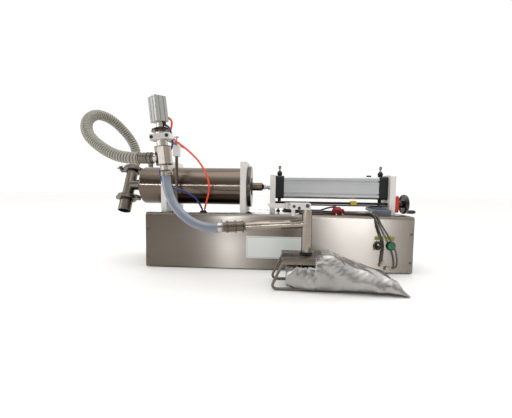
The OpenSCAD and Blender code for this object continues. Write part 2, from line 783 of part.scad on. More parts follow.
// flat disc of a non-return valve, resting on its gasket
module valve_disc() {
    cylinder(d = disc_diameter, h = disc_thickness);
    translate([0, 0, disc_thickness]) cylinder(d1 = 8, d2 = 6, h = 1.5);
}

module suction_valve() {
    color("#dedede") tee_frame() translate([0, 0, -tee_down + 0.1]) valve_disc();
}

module discharge_valve() {
    color("#dedede") tee_frame() translate([0, 0, tee_up + gasket + 0.1]) valve_disc();
}

spiral_points = [[-523, 46, 340], [-522, 54, 358], [-521, 58, 384], [-522, 48, 414], [-530, 26, 442], [-541, -8, 464],
    [-553, -46, 474], [-564, -84, 470], [-572, -118, 454], [-574, -146, 430], [-562, -168, 402], [-538, -186, 379],
    [-506, -200, 361], [-468, -209, 347], [-428, -214, 338], [-400, -215, 335]];

module spiral_hose() {
    first = cone_end + (tee_up + gasket + 10) * [0, sin(tee_tilt), cos(tee_tilt)];
    last = [inlet_end, nozzle_y, inlet_z];
    color("#9c978a") swept(concat([first, first + 3 * [0, sin(tee_tilt), cos(tee_tilt)]], spiral_points,
        [last - [4, 0, 0], last]), spiral_hose_diameter / 2 - 0.5, 12, [1, 0, 0]);
}

module inlet_coupling() {
    color("#34302c") translate([0, nozzle_y, inlet_z]) difference() {
        union() {
            rod_x(inlet_end, sleeve_end, 29);
            for (x = [1, 9, 17]) rod_x(inlet_end + x, inlet_end + x + 6, 31);
            rod_x(sleeve_end - 15, sleeve_end - 3, 32.6);
            translate([sleeve_end - 14, -5, -25]) cube([10, 10, 12]);
            translate([sleeve_end - 9, 9, -21]) rotate([90, 0, 0]) cylinder(d = 5, h = 18);
        }
        rod_x(inlet_end - 1, sleeve_end + 1, 24 + 2 * fit);
    }
}

module nozzle_body() {
    color("#9f968c") difference() {
        union() {
            nozzle_frame() {
                translate([0, 0, body_bottom]) rotate(22.5) cylinder(d = body_size / cos(22.5), h = body_height, $fn = 8);
                translate([0, 0, neck_end]) cylinder(d = 27, h = body_bottom - neck_end);
                translate([0, 0, body_bottom - 3]) cylinder(d1 = 30, d2 = body_size - 3, h = 3);
            }
            translate([0, nozzle_y, inlet_z]) rod_x(inlet_end + 2, nozzle_x - 2, 24);
        }
        nozzle_frame() {
            translate([0, 0, body_bottom]) cylinder(d = 26, h = body_height + 1);
            translate([0, 0, neck_end - 1]) cylinder(d = 20, h = 30);
        }
        translate([0, nozzle_y, inlet_z]) rod_x(inlet_end + 1, nozzle_x, 20);
    }
}

module nozzle_neck() {
    color("#b5aea4") nozzle_frame() difference() {
        union() {
            translate([0, 0, body_top]) cylinder(d = neck_diameter, h = seal_top - body_top);
            translate([0, 0, seal_top]) cylinder(d = 20, h = actuator_z - seal_top);
        }
        translate([0, 0, body_top - 1]) cylinder(d = 26, h = valve_travel + 6);
        translate([0, 0, body_top]) cylinder(d = 8 + 2 * fit, h = actuator_z - body_top + 1);
    }
}

module clamp_block() {
    color("#c4c2bd") nozzle_frame() difference() {
        translate([0, 0, -clamp_block_height / 2]) linear_extrude(clamp_block_height) polygon([
            [3 - clamp_block_width / 2, -block_front], [clamp_block_width / 2 - 3, -block_front],
            [clamp_block_width / 2, 3 - block_front], [clamp_block_width / 2, 12], [12, block_back], [-12, block_back],
            [-clamp_block_width / 2, 12], [-clamp_block_width / 2, 3 - block_front]]);
        translate([0, 0, -clamp_block_height]) cylinder(d = neck_diameter + 2 * fit, h = 2 * clamp_block_height);
        for (s = [-1, 1]) translate([s * (neck_diameter / 2 + 6), 0, 0]) {
            translate([0, -block_front - 1, 0]) rotate([-90, 0, 0]) cylinder(d = 10.2, h = 7.5);
            translate([0, -block_front, 0]) rotate([-90, 0, 0]) cylinder(d = 6 + 2 * fit, h = 45);
        }
        translate([0, block_back - 11, 0]) rotate([-90, 0, 0]) cylinder(d = cross_rod_diameter + 2 * fit, h = 12);
    }
}

module actuator_turn() {
    nozzle_frame() translate([0, 0, actuator_z]) rotate(-38) children();
}

module actuator_body() {
    w = actuator_width;
    color("#c9cac8") actuator_turn() difference() {
        linear_extrude(actuator_height) difference() {
            polygon(rounded(w, w, 3));
            for (a = [0:90:270], s = [-1, 1]) rotate(a) translate([s * 7 - 1.2, w / 2 - 1.6]) square([2.4, 2.6]);
        }
        translate([0, 0, 8]) cylinder(d = 25, h = actuator_height - 16);
        translate([0, 0, -1]) cylinder(d = 8 + 2 * fit, h = 12);
    }
}

module nozzle_plunger() {
    color("#d4d4d0") nozzle_frame() {
        translate([0, 0, body_bottom + soft]) cylinder(d1 = 22, d2 = 25, h = 8);
        translate([0, 0, body_bottom + 7]) cylinder(d = 8, h = actuator_z + 14 - body_bottom - 7);
        translate([0, 0, actuator_z + 14]) cylinder(d = 25 - 2 * fit, h = 10);
    }
}

module nozzle_stand() {
    d = stand_rod_diameter;
    color("#aaa69f") {
        translate([nozzle_x, stand_y, 0]) {
            difference() {
                union() {
                    translate([0, 0, top]) cylinder(d1 = 30, d2 = 26, h = 4);
                    translate([0, 0, top - sheet - 6]) cylinder(d = d, h = cross_rod_z - 23 - top + sheet + 6);
                }
            }
            difference() {
                union() {
                    translate([-9, -12, cross_rod_z - 39]) cube([18, 24, 35]);
                    translate([-7, -12, cross_rod_z - 6]) cube([14, 24, 14]);
                }
                translate([0, 0, cross_rod_z - 40]) cylinder(d = d + 2 * fit, h = 17);
                translate([0, -13, cross_rod_z]) rotate([-90, 0, 0])
                    cylinder(d = cross_rod_diameter + 2 * fit, h = 26);
                translate([0, 0, cross_rod_z]) cylinder(d = 5 + 2 * fit, h = 9);
            }
        }
        translate([nozzle_x, nozzle_y + block_back - 11 + soft, cross_rod_z]) rotate([-90, 0, 0])
            cylinder(d = cross_rod_diameter, h = 190);
    }
}

module thumb_screw() {
    color("#b9b9b5") translate([nozzle_x, stand_y, cross_rod_z]) {
        translate([0, 0, cross_rod_diameter / 2 + 0.2]) cylinder(d = 5, h = 17);
        translate([0, 0, 22]) sphere(d = 9);
        translate([-7, -1.5, 20]) cube([14, 3, 4]);
    }
}

fill_points = [[-307, -222, 258], [-295, -231, 229], [-278, -241, 203], [-254, -250, 180], [-224, -256, 161],
    [-190, -258, 150]];

module fill_hose() {
    a = [nozzle_x, nozzle_y, cross_rod_z] - [-sin(nozzle_lean), 0, cos(nozzle_lean)] * -neck_end;
    n = [sin(nozzle_lean), 0, -cos(nozzle_lean)];
    b = [union_x, head_y, union_z];
    m = [cos(union_slope), 0, sin(union_slope)];
    color("#8d95a1") swept(concat([a, a + 4 * n, a + 18 * n], fill_points, [b - 20 * m, b - 4 * m, b]),
        fill_hose_diameter / 2, 12, [0, 1, 0]);
}

// band with its screw housing, axis along z
module hose_band() {
    r = fill_hose_diameter / 2;
    difference() {
        union() {
            cylinder(r = r + 1.5, h = 11);
            translate([r, -6, 1]) cube([7, 12, 9]);
        }
        translate([0, 0, -1]) cylinder(r = r + soft, h = 13);
    }
    translate([r + 4, -10, 5.5]) rotate([90, 0, 0]) cylinder(d = 6, h = 3);
    translate([r + 4, -6.5, 5.5]) rotate([90, 0, 0]) cylinder(d = 3.5, h = 4);
}

module hose_clamps() {
    color("#b0aca4") {
        nozzle_frame() translate([0, 0, neck_end - 15]) hose_band();
        pipe_frame() translate([0, 0, -15]) rotate(180) hose_band();
    }
}

module feed_union() {
    r = fill_hose_diameter / 2;
    color("#938d84") pipe_frame() rotate_extrude() polygon([
        [8, 0], [r, 0], [r, 6], [16, 7], [16, 12], [13.5, 13], [13.5, 28], [16, 29], [16, 34], [13, 35], [13, 47],
        [15.5, 48], [15.5, 53], [10, 55], [10, union_length], [8, union_length]]);
}

module head_tube() {
    r = head_tube_diameter / 2;
    p = side_pipe_diameter / 2;
    color("#a8a196") difference() {
        union() {
            translate([head_x, head_y, tube_bottom]) cylinder(r = r, h = head_tube_top - tube_bottom);
            translate([head_x, head_y, tube_bottom + 40]) cylinder(r = r + 0.6, h = 2);
            pipe_frame() {
                translate([0, 0, union_length]) cylinder(r1 = 10, r2 = p, h = 29);
                translate([0, 0, union_length + 29]) cylinder(r = p, h = side_pipe_length - 29);
            }
        }
        translate([head_x, head_y, tube_bottom - 1])
            cylinder(r = r - head_tube_wall, h = head_tube_top - tube_bottom + 2);
        pipe_frame() translate([0, 0, union_length - 1]) cylinder(r = 8, h = side_pipe_length + 1);
    }
}

module head_block() {
    l = head_block_length;
    d = head_block_depth;
    h = head_block_height;
    color("#d0cfcb") translate([block_x, head_y, head_tube_top]) {
        difference() {
            translate([0, -d / 2, 0]) cube([l, d, h]);
            translate([hinge_x - block_x, 0, -1]) cylinder(r = 9.5, h = h + 2);
            for (p = [[9, 8, 5], [22, 4, 5], [43, 10, 6]]) translate([p[0], -d / 2 - 1, p[1]]) rotate([-90, 0, 0]) {
                cylinder(d = p[2] * 1.625 + 0.4, h = p[2] + 1);
                cylinder(d = p[2] + 2 * fit, h = p[2] + 14);
            }
        }
        for (z = [0, h - 2]) difference() {
            union() {
                translate([hinge_x - block_x, 0, z]) cylinder(r = 5.5, h = 2);
                translate([hinge_x - block_x, -5, z]) cube([10, 10, 2]);
            }
        }
        translate([hinge_x - block_x, 0, 1]) cylinder(d = 4, h = h - 2);
        translate([8, -d / 2 + 8, -16]) cylinder(d = 10, h = 16);
    }
}

module lever_arm() {
    h = head_block_height;
    color("#dcdbd8") translate([hinge_x, head_y, head_tube_top + 2 + soft]) difference() {
        union() {
            cylinder(r = 5.5, h = h - 4 - 2 * soft);
            rotate([90, 0, 0]) translate([0, 0, -9]) linear_extrude(18) polygon([
                [-6.5, 0], [-6.5, h - 4 - 2 * soft], [-lever_reach, h - 4 - 2 * soft],
                [-lever_reach, h - 6 - 2 * soft], [6 - lever_reach, 0]]);
            translate([-8, -4, 0]) cube([8, 8, h - 4 - 2 * soft]);
        }
        translate([0, 0, -1]) cylinder(d = 4 + 2 * fit, h = h);
    }
}

module wire(a, b) {
    v = b - a;
    translate(a) rotate([0, acos(v.z / norm(v)), atan2(v.y, v.x)]) cylinder(d = wire_diameter, h = norm(v));
    for (p = [a, b]) translate(p) sphere(d = wire_diameter + 0.6);
}

module bag_rack() {
    w = wire_diameter / 2 + 0.3;
    color("#7d7770") {
        difference() {
            union() {
                translate([plate_x0, rack_front - w - 1, rack_height - 2])
                    cube([rack_plate_length, rack_spread + 2 * w + 2, 2]);
                for (y = [rack_front - w - 1, rack_back + w - 1])
                    translate([plate_x0 + 14, y, rack_height - apron]) cube([rack_plate_length - 28, 2, apron]);
            }
            translate([head_x, head_y, rack_height - 3]) cylinder(d = spout_diameter + 1, h = 4);
        }
        for (y = [rack_front, rack_back]) {
            wire([plate_x0 + 6, y, rack_height - 1 - w], [plate_x0 + 6 - rack_splay, y, w]);
            wire([plate_x0 + 6 - rack_splay, y, w], [plate_x1 - 6 + rack_splay, y, w]);
            wire([plate_x1 - 6, y, rack_height - 1 - w], [plate_x1 - 6 + rack_splay, y, w]);
        }
    }
}

module bag_spout() {
    color("#26221f") difference() {
        union() {
            translate([head_x, head_y, rack_height]) cylinder(d = spout_diameter + 8, h = spout_flange);
            translate([head_x, head_y, rack_height - spout_length]) cylinder(d = spout_diameter, h = spout_length + 1);
        }
        translate([head_x, head_y, rack_height - spout_length - 1])
            cylinder(d = spout_diameter - 4, h = spout_length + spout_flange + 2);
    }
}

// bag sections: [x, front y, back y, low z, high z, roundness]
bag_sections = [[25, -300, -268, 12, 58, 0.7], [44, -307, -236, 4, 64, 0.7], [77, -314, -226, 1, 65, 0.7],
    [95, -318, -220, 1, 66, 0.6], [99, -320, -216, 1, 89, 0.45], [114, -322, -215, 1, 92, 0.38],
    [139, -323, -215, 1, 93, 0.38], [150, -324, -214, 1, 88, 0.45], [166, -325, -213, 1, 80, 0.6],
    [200, -327, -211, 1, 68, 0.7], [240, -329, -209, 1, 57, 0.7], [275, -330, -208, 1, 45, 0.7],
    [298, -330, -209, 1, 30, 0.7], [310, -330, -250, 1, 14, 0.7], [318, -330, -300, 1, 6, 0.7]];

function bag_ring(s) = [for (k = [0:11]) let (a = 15 + 30 * k, y = cos(a), z = sin(a))
    [s[0], (s[1] + s[2]) / 2 + (s[2] - s[1]) / 2 * sign(y) * pow(abs(y), s[5]),
        s[3] + (s[4] - s[3]) * (z < 0 ? 0.28 * (1 + z) : 0.28 + 0.72 * pow(z, s[5] + 0.1))]];

module lofted(sections) {
    n = 12;
    last = (len(sections) - 1) * n;
    polyhedron(
        points = [for (s = sections) each bag_ring(s)],
        faces = concat(
            [[for (k = [n - 1:-1:0]) k]],
            [for (i = [0:len(sections) - 2], k = [0:n - 1]) [i * n + k, i * n + (k + 1) % n, (i + 1) * n + k]],
            [for (i = [0:len(sections) - 2], k = [0:n - 1])
                [(i + 1) * n + k, i * n + (k + 1) % n, (i + 1) * n + (k + 1) % n]],
            [[for (k = [0:n - 1]) last + k]]),
        convexity = 6);
}

module foil_bag() {
    leg = wire_diameter / 2 + 1;
    color("#b3b0ae") difference() {
        lofted(bag_sections);
        translate([head_x, head_y, rack_height - spout_length - soft])
            cylinder(d = spout_diameter + 2 * soft, h = spout_length);
        translate([head_x, head_y, rack_height - 1]) cylinder(d = spout_diameter + 9, h = 20);
        for (y = [rack_front, rack_back]) {
            translate([0, y - leg, -1]) cube([plate_x1 - 6 + rack_splay + leg, 2 * leg, wire_diameter + 2]);
            translate([plate_x1 - 6, y + leg, 0]) rotate([90, 0, 0]) linear_extrude(2 * leg)
                polygon([[-8, rack_height], [8, rack_height], [rack_splay + 8, 0], [rack_splay - 8, 0]]);
        }
        translate([plate_x0, rack_front - wire_diameter / 2 - 1.6, rack_height - apron - soft])
            cube([rack_plate_length + soft, rack_spread + wire_diameter + 3.2, apron + 2 * soft]);
    }
}

module label_plates() {
    color("#e9e9e6") translate([-94, front - 1, 37]) cube([name_plate_length, 1, name_plate_height]);
    color("#c9cf4a") for (x = [selector_x + 3, button_x - 3])
        translate([x - 13.5, front - 0.6, control_z + 17]) cube([27, 0.6, 11]);
}

module panel_fittings() {
    b = bezel_diameter;
    color("#3c3a37") {
        for (x = [selector_x, button_x]) translate([x, front, control_z]) rotate([-90, 0, 0]) difference() {
            union() {
                translate([0, 0, -4]) cylinder(d1 = b - 3, d2 = b, h = 4);
                cylinder(d = 22, h = 24);
            }
            translate([0, 0, -5]) cylinder(d = button_diameter - 3 + 1, h = 20);
            translate([0, 0, -5]) cylinder(d = button_diameter + 1, h = 4.6);
        }
        translate([gland_x, front, gland_z]) rotate([-90, 0, 0]) {
            translate([0, 0, -6]) cylinder(d = 15, h = 6, $fn = 6);
            translate([0, 0, -13]) cylinder(d = 12, h = 8);
            cylinder(d = 10, h = 10);
        }
        translate([gland_x, front - 9, gland_z]) cylinder(d = 9, h = 12);
        translate([socket_x, front, socket_z]) rotate([-90, 0, 0]) {
            translate([0, 0, -3]) cylinder(d = 13, h = 3);
            translate([0, 0, -12]) cylinder(d = 11, h = 9);
            cylinder(d = 8, h = 10);
        }
        translate([0, front - 7.5, socket_z]) rod_x(socket_x, socket_x + 12, 8.5);
    }
}

module selector_knob() {
    color("#1b1b1b") translate([selector_x, front, control_z]) rotate([-90, 0, 0]) {
        translate([0, 0, -14]) cylinder(d1 = button_diameter - 3, d2 = button_diameter, h = 9.4);
        translate([0, 0, -5]) cylinder(d = button_diameter - 3, h = 18);
        rotate(38) translate([-2.5, -2, -18]) cube([5, 15, 8]);
    }
}

module start_button() {
    color("#1f9a3c") translate([button_x, front, control_z]) rotate([-90, 0, 0]) {
        translate([0, 0, -9]) cylinder(d1 = button_diameter - 2, d2 = button_diameter, h = 3);
        translate([0, 0, -6]) cylinder(d = button_diameter, h = 1.2);
        translate([0, 0, -5]) cylinder(d = button_diameter - 3, h = 15);
    }
}

module pedal_base() {
    color("#3f454b") translate([pedal_x, pedal_y, top]) {
        cube([pedal_width, pedal_length, pedal_base_height]);
        for (x = [10, pedal_width - 15]) translate([x, 4, pedal_base_height - 1]) difference() {
            cube([5, 7, 8]);
            translate([-1, 3.5, 4.5]) rotate([0, 90, 0]) cylinder(d = 4 + 2 * fit, h = 7);
        }
        translate([pedal_width / 2 - 8, pedal_length - 24, pedal_base_height - 1]) cylinder(d = 14, h = 4);
    }
}

module pedal_treadle() {
    b = pedal_base_height;
    l = pedal_length;
    color("#5f6b76") translate([pedal_x, pedal_y, top]) {
        difference() {
            rotate([90, 0, 90]) linear_extrude(pedal_width) polygon([[0, b + 1], [0, b + 10], [3, b + 12],
                [l - 6, b + 18], [l, b + 15], [l, b + 8.5], [14, b + 2]]);
            for (x = [10, pedal_width - 15]) translate([x - 0.4, 3.4, b - 1]) cube([5.8, 9, 9]);
            translate([5, 24, b - 2]) cube([pedal_width - 10, l - 30, 14]);
            translate([-1, 7.5, b + 3.5]) rotate([0, 90, 0]) cylinder(d = 4, h = 4);
        }
        translate([1, 7.5, b + 3.5]) rotate([0, 90, 0]) cylinder(d = 4, h = pedal_width - 2);
    }
}

// plug frame: pins along -z, cord end above
module plug_frame() {
    translate(plug_at) rotate([-71, 0, 0]) children();
}

module mains_plug() {
    color("#8f1620") plug_frame() {
        linear_extrude(8) polygon(rounded(38, 18, 6));
        translate([0, 0, 8]) linear_extrude(18) polygon(rounded(26, 15, 6));
        translate([0, 0, 26]) cylinder(d1 = 11, d2 = 8, h = 8);
        for (x = [-9.5, 9.5]) translate([x, 0, -19]) cylinder(d = 4.8, h = 19);
    }
}

mains_front_points = [[320.2, -127.4, 56], [321.4, -126.6, 68], [322.8, -125.2, 79], [322.9, -124.9, 88],
    [320.6, -125.6, 100], [315.6, -126.6, 113], [309.5, -126.6, 128], [303.3, -125, 145], [299.6, -122.5, 158.5],
    [298.4, -120.7, 167.7], [296, -115.5, 175.5], [291.8, -107.7, 180.7], [286, -98.5, 182.3], [279.5, -90, 181.2],
    [271, -81.5, 178.9], [262, -75, 178.05], [250, -68.5, 178.05], [234, -62.5, 178.05], [212, -58, 178.05],
    [190, -57.5, 178.05], [172, -62.5, 178.05]];
mains_back_points = [[147, -24, 184.6], [160, -22.8, 188.4], [169, -22.8, 191.6], [180.5, -26.2, 194.8],
    [189.6, -35, 197], [193, -47.4, 197.3]];
pedal_front_points = [[350.5, -125.5, 18], [355, -126.4, 19], [358.8, -128, 21.8], [361.2, -130, 26],
    [362, -132, 31.5], [361, -134.5, 46], [357, -136.8, 66], [350, -138, 85], [341, -137, 103], [329, -134, 124],
    [316.5, -130, 145], [309.6, -125.4, 158.5], [307.3, -121.9, 167], [304.6, -117.1, 174.1], [301, -109.9, 178.8],
    [296.5, -102, 180.2], [290.5, -91, 178.9], [281, -77, 178.05], [267, -63.5, 178.05], [250, -54, 178.05],
    [230, -45.5, 178.05], [204, -34, 178.05], [178, -20.5, 178.05], [150, -10.5, 178.05], [124, -6.5, 178.05]];
pedal_back_points = [[117, 23, 179.6], [134, 16, 178.05], [160, 10, 178.05], [188, 2.5, 178.05],
    [216, -7.5, 178.05], [243, -23, 178.05], [263, -39, 178.05], [276, -51.5, 178.1], [286, -57.8, 178.1], [293, -59, 178.1]];
coil_height = 11.2;
coil_r = 32.6;
coil_half = 11.2;
coil_turn_height = 6.95;
mains_coil_at = [112, -62, top + soft];
pedal_coil_at = [62, 24, top + soft];
plug_at = [193, -89, top + 8.6];
plug_dir = [0, sin(71), cos(71)];

// wound cord, seen as one ring
module coil(at) {
    translate(at) rotate_extrude($fn = 64) polygon([
        [coil_r - coil_half, 1.5], [coil_r - coil_half + 1.5, 0], [coil_r + coil_half - 1.5, 0],
        [coil_r + coil_half, 1.5], [coil_r + coil_half, 9.7], [coil_r + coil_half - 1.5, coil_height],
        [coil_r - coil_half + 1.5, coil_height], [coil_r - coil_half, 9.7]]);
}

// point on the outside of a coil, d further out and h above its foot
function coil_side(at, a, d = 0, h = cord_r + 1.5) =
    at + (coil_r + coil_half + 0.05 + d) * [cos(a), sin(a), 0] + [0, 0, h];

module mains_coil() {
    color("#3a3a3c") coil(mains_coil_at);
}

module pedal_coil() {
    color("#404448") coil(pedal_coil_at);
}

module mains_cord() {
    out = [gland_x, front - 9, gland_z + 12];
    plug_end = plug_at + 34 * plug_dir;
    color("#45474a") {
        swept(concat([out, out + [0, 0, 4]], mains_front_points, [coil_side(mains_coil_at, -15, 4),
            coil_side(mains_coil_at, -15)]), cord_r);
        swept(concat([coil_side(mains_coil_at, 50, 0, coil_turn_height), coil_side(mains_coil_at, 50, 3, coil_turn_height)],
            mains_back_points, [plug_end + 4 * plug_dir, plug_end]), cord_r);
    }
}

module pedal_cord() {
    out = [socket_x + 12, front - 7.5, socket_z];
    pedal_in = [pedal_x, pedal_y + pedal_length - 38, top + 3.1];
    color("#4a4d50") {
        swept(concat([out], pedal_front_points, [coil_side(pedal_coil_at, -38, 4),
            coil_side(pedal_coil_at, -38)]), cord_r);
        swept(concat([coil_side(pedal_coil_at, 5, 0, coil_turn_height), coil_side(pedal_coil_at, 5, 4, coil_turn_height)],
            pedal_back_points, [pedal_in]), cord_r);
    }
}

orange_points = [[-304, -183, 448.5], [-299.5, -178, 444], [-297.5, -175.5, 436], [-298, -174.5, 422],
    [-299, -174, 408], [-297, -172, 393], [-287, -163, 378.5], [-270, -149, 362], [-248, -128, 340], [-228, -108, 306],
    [-218, -93, 268], [-221, -84, 230]];
blue_points = [[-314, -194, 426.6], [-312, -188, 422.5], [-309.4, -186.5, 415], [-306, -186.5, 403],
    [-304, -186, 388], [-306, -184, 372], [-317, -181, 350], [-333, -181, 322], [-344, -179, 298], [-341, -162, 270],
    [-322, -138, 254], [-288, -112, 240], [-260, -94, 220]];

module nozzle_air_tubes() {
    g = [nozzle_grommet.x, nozzle_grommet.y, top + grommet_height];
    l = nozzle_lean;
    base = [nozzle_x, nozzle_y, cross_rod_z];
    reach = actuator_width / 2 + 11;
    o = base + (actuator_z + 14) * [-sin(l), 0, cos(l)] + reach * sin(38) * [cos(l), 0, sin(l)] + [0, reach * cos(38), 0];
    out = sin(38) * [cos(l), 0, sin(l)] + [0, cos(38), 0];
    b = base + (actuator_z - 8.5) * [-sin(l), 0, cos(l)] + fitting_x * [cos(l), 0, sin(l)] + [0, 14, 0];
    color("#e0591d") swept(concat([o, o + 4 * out], orange_points, [g + [4.5, 0, 5], g + [4.5, 0, 0]]), air_r);
    color("#1f3a86") swept(concat([b, b + [0, 3, 0]], blue_points, [g + [-4.5, 0, 5], g - [4.5, 0, 0]]),
        air_r);
}

module drive_air_tubes() {
    ports = [[drive_x + cap_length / 2, drive_grommets[0]], [drive_end_x - cap_length / 2, drive_grommets[1]]];
    color("#e0591d") for (q = ports) {
        a = [q[0], 0, axis_z - cap_size / 2 - 10];
        g = [q[1].x, q[1].y, top + grommet_height];
        swept([a, a - [0, 0, 4], 0.7 * a + 0.3 * g - [0, 0, 1], 0.3 * a + 0.7 * g + [0, 0, 1], g + [0, 0, 4], g], air_r);
    }
}

cabinet_shell();
cabinet_panels();
rubber_feet();
machine_screws();
support_plates();
product_cylinder();
rear_cap();
product_piston();
piston_seals();
product_rod();
drive_rod();
drive_barrel();
drive_caps();
flow_knob_front();
flow_knob_rear();
air_fittings();
guide_rail();
spindle();
handwheel();
crank_grip();
position_indicator();
pointer_carriage();
tee_pipes();
tee_clamps();
wing_nut_upper();
wing_nut_lower();
suction_valve();
discharge_valve();
seal_rings();
spiral_hose();
inlet_coupling();
nozzle_body();
nozzle_neck();
clamp_block();
actuator_body();
nozzle_plunger();
nozzle_stand();
thumb_screw();
fill_hose();
hose_clamps();
feed_union();
head_tube();
head_block();
lever_arm();
bag_rack();
bag_spout();
foil_bag();
label_plates();
panel_fittings();
selector_knob();
start_button();
pedal_base();
pedal_treadle();
mains_plug();
mains_coil();
pedal_coil();
mains_cord();
pedal_cord();
nozzle_air_tubes();
drive_air_tubes();
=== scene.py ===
import json
import math

import bmesh
import bpy
from mathutils import Matrix, Vector, noise

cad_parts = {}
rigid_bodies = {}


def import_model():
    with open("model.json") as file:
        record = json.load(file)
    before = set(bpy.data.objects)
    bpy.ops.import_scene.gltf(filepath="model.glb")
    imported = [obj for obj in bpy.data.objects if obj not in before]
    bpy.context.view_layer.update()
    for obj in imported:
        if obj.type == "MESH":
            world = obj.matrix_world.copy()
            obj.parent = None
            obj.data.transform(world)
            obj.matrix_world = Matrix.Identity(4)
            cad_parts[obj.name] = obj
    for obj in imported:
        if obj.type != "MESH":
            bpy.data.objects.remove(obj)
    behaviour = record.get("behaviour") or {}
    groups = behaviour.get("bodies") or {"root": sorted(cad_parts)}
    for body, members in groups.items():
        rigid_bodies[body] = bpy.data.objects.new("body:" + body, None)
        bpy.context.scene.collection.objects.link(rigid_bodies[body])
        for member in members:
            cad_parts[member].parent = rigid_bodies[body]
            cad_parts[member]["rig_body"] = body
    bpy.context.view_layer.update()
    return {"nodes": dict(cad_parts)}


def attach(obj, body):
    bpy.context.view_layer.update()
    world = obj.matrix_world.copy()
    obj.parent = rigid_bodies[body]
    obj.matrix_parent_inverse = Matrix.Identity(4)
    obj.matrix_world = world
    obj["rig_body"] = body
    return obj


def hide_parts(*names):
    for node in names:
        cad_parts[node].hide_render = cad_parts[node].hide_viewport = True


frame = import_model()
NODES = frame["nodes"]
MM = 0.001
AXIS_Z = 260.5  # height of the product cylinder's and the drive's axis, mm
CORD = 5.5  # diameter of both leads, mm
TOP = 175.0  # height of the cabinet's top, mm
TILT = math.radians(26)  # the tee leans back
LEAN = math.radians(6.6)  # the nozzle leans left
scene = bpy.context.scene


def mm(*p):
    """A point given in millimetres, in metres."""
    return Vector(p) * MM


def linear(code):
    """An sRGB hex colour as linear RGBA."""
    parts = [int(code[i:i + 2], 16) / 255 for i in (1, 3, 5)]
    return tuple(c / 12.92 if c <= 0.04045 else ((c + 0.055) / 1.055) ** 2.4 for c in parts) + (1.0,)


def add(tree, kind, inputs=None, **settings):
    """A node of this kind with its settings, its inputs linked or set."""
    made = tree.nodes.new(kind)
    for key, value in settings.items():
        setattr(made, key, value)
    for key, value in (inputs or {}).items():
        if isinstance(value, bpy.types.NodeSocket):
            tree.links.new(value, made.inputs[key])
        else:
            made.inputs[key].default_value = value
    return made


def mixed(tree, share, first, second, how="MIX"):
    """The colour between two, by a share."""
    inputs = {0: share, 6: first, 7: second}
    return add(tree, "ShaderNodeMix", inputs, data_type="RGBA", blend_type=how).outputs[2]


def ranged(tree, value, low, high, to_low=0.0, to_high=1.0):
    """A value carried from one range to another."""
    inputs = {"Value": value, "From Min": low, "From Max": high, "To Min": to_low, "To Max": to_high}
    return add(tree, "ShaderNodeMapRange", inputs).outputs[0]


def link_object(name, data):
    """A new object of this name in the scene."""
    made = bpy.data.objects.new(name, data)
    scene.collection.objects.link(made)
    return made


# Camera, fitted to the cabinet's corners and the cylinder's end circles in the photograph.
def make_camera():
    yaw, pitch, roll = (math.radians(a) for a in (3.34, 3.94, 0.82))
    ahead = Vector((-math.sin(yaw) * math.cos(pitch), math.cos(yaw) * math.cos(pitch), -math.sin(pitch)))
    level = Vector((math.cos(yaw), math.sin(yaw), 0))
    above = level.cross(ahead)
    right = level * math.cos(roll) + above * math.sin(roll)
    upward = above * math.cos(roll) - level * math.sin(roll)
    lens = bpy.data.cameras.new("camera")
    lens.lens = 21.09
    lens.sensor_width = 36
    lens.clip_start = 0.05
    camera = link_object("camera", lens)
    turn = Matrix((right, upward, -ahead)).transposed().to_4x4()
    camera.matrix_world = Matrix.Translation(mm(-10.6, -1043.5, 254.9)) @ turn
    scene.camera = camera
    scene.view_settings.view_transform = "Standard"


make_camera()


# Light: a soft ceiling, a weak box from the left, and boxes that light_only ties to single pieces.
def softbox(name, place, aim, size, power, colour="#ffffff"):
    """An area light at a place, facing aim; sizes in metres, power in watts."""
    light = bpy.data.lights.new(name, "AREA")
    light.shape = "RECTANGLE"
    light.size, light.size_y = size
    light.energy = power
    light.color = linear(colour)[:3]
    made = link_object(name, light)
    turn = (Vector(aim) - Vector(place)).to_track_quat("-Z", "Y").to_matrix().to_4x4()
    made.matrix_world = Matrix.Translation(place) @ turn
    return made


softbox("ceiling_box", (0.1, -0.1, 2.6), (0, 0, 0), (3.0, 1.6), 18)
# a long thin box that draws the bright line along the product cylinder
strip_box = softbox("strip_box", (-1.15, -2.7, 0.45), (-0.3, 0, 0.27), (1.5, 0.1), 16, "#f4f6ff")
softbox("left_box", (-2.6, -0.9, 1.0), (-0.2, 0, 0.25), (0.8, 1.2), 12)
# a broad box to the front left that the bright tubes mirror as one band
tube_box = softbox("tube_box", (-1.5, -1.9, 0.5), (-0.1, -0.1, 0.25), (1.7, 1.2), 9, "#f4f6ff")
# two upright boxes behind the camera and one behind the machine, for the cabinet's sheets
SHEET_LIGHT = "#e2efff"
sheet_boxes = [
    softbox("wide_sheet_box", (0.77, -2.15, 0.5), (0.25, 0, 0.1), (0.46, 0.9), 37, SHEET_LIGHT),
    softbox("narrow_sheet_box", (-0.43, -2.15, 0.5), (-0.14, 0, 0.1), (0.07, 0.9), 18, SHEET_LIGHT),
    softbox("rear_sheet_box", (-0.6, 2.3, 0.9), (0, 0, 0.1), (2.2, 1.0), 40, SHEET_LIGHT)]


# World: a white wall behind the machine, and behind the camera a dim warm room for the steel to mirror.
# From left to right the room is grey, then dark, has one narrow bright gap, and is paler on the right.
ROOM = ((0.0, 0.6), (0.12, 0.5), (0.3, 0.2), (0.435, 0.16), (0.452, 1.3), (0.468, 1.3), (0.485, 0.25),
        (0.53, 0.5), (0.56, 0.72), (0.66, 0.8), (0.74, 0.6), (0.85, 0.45), (1.0, 0.6))


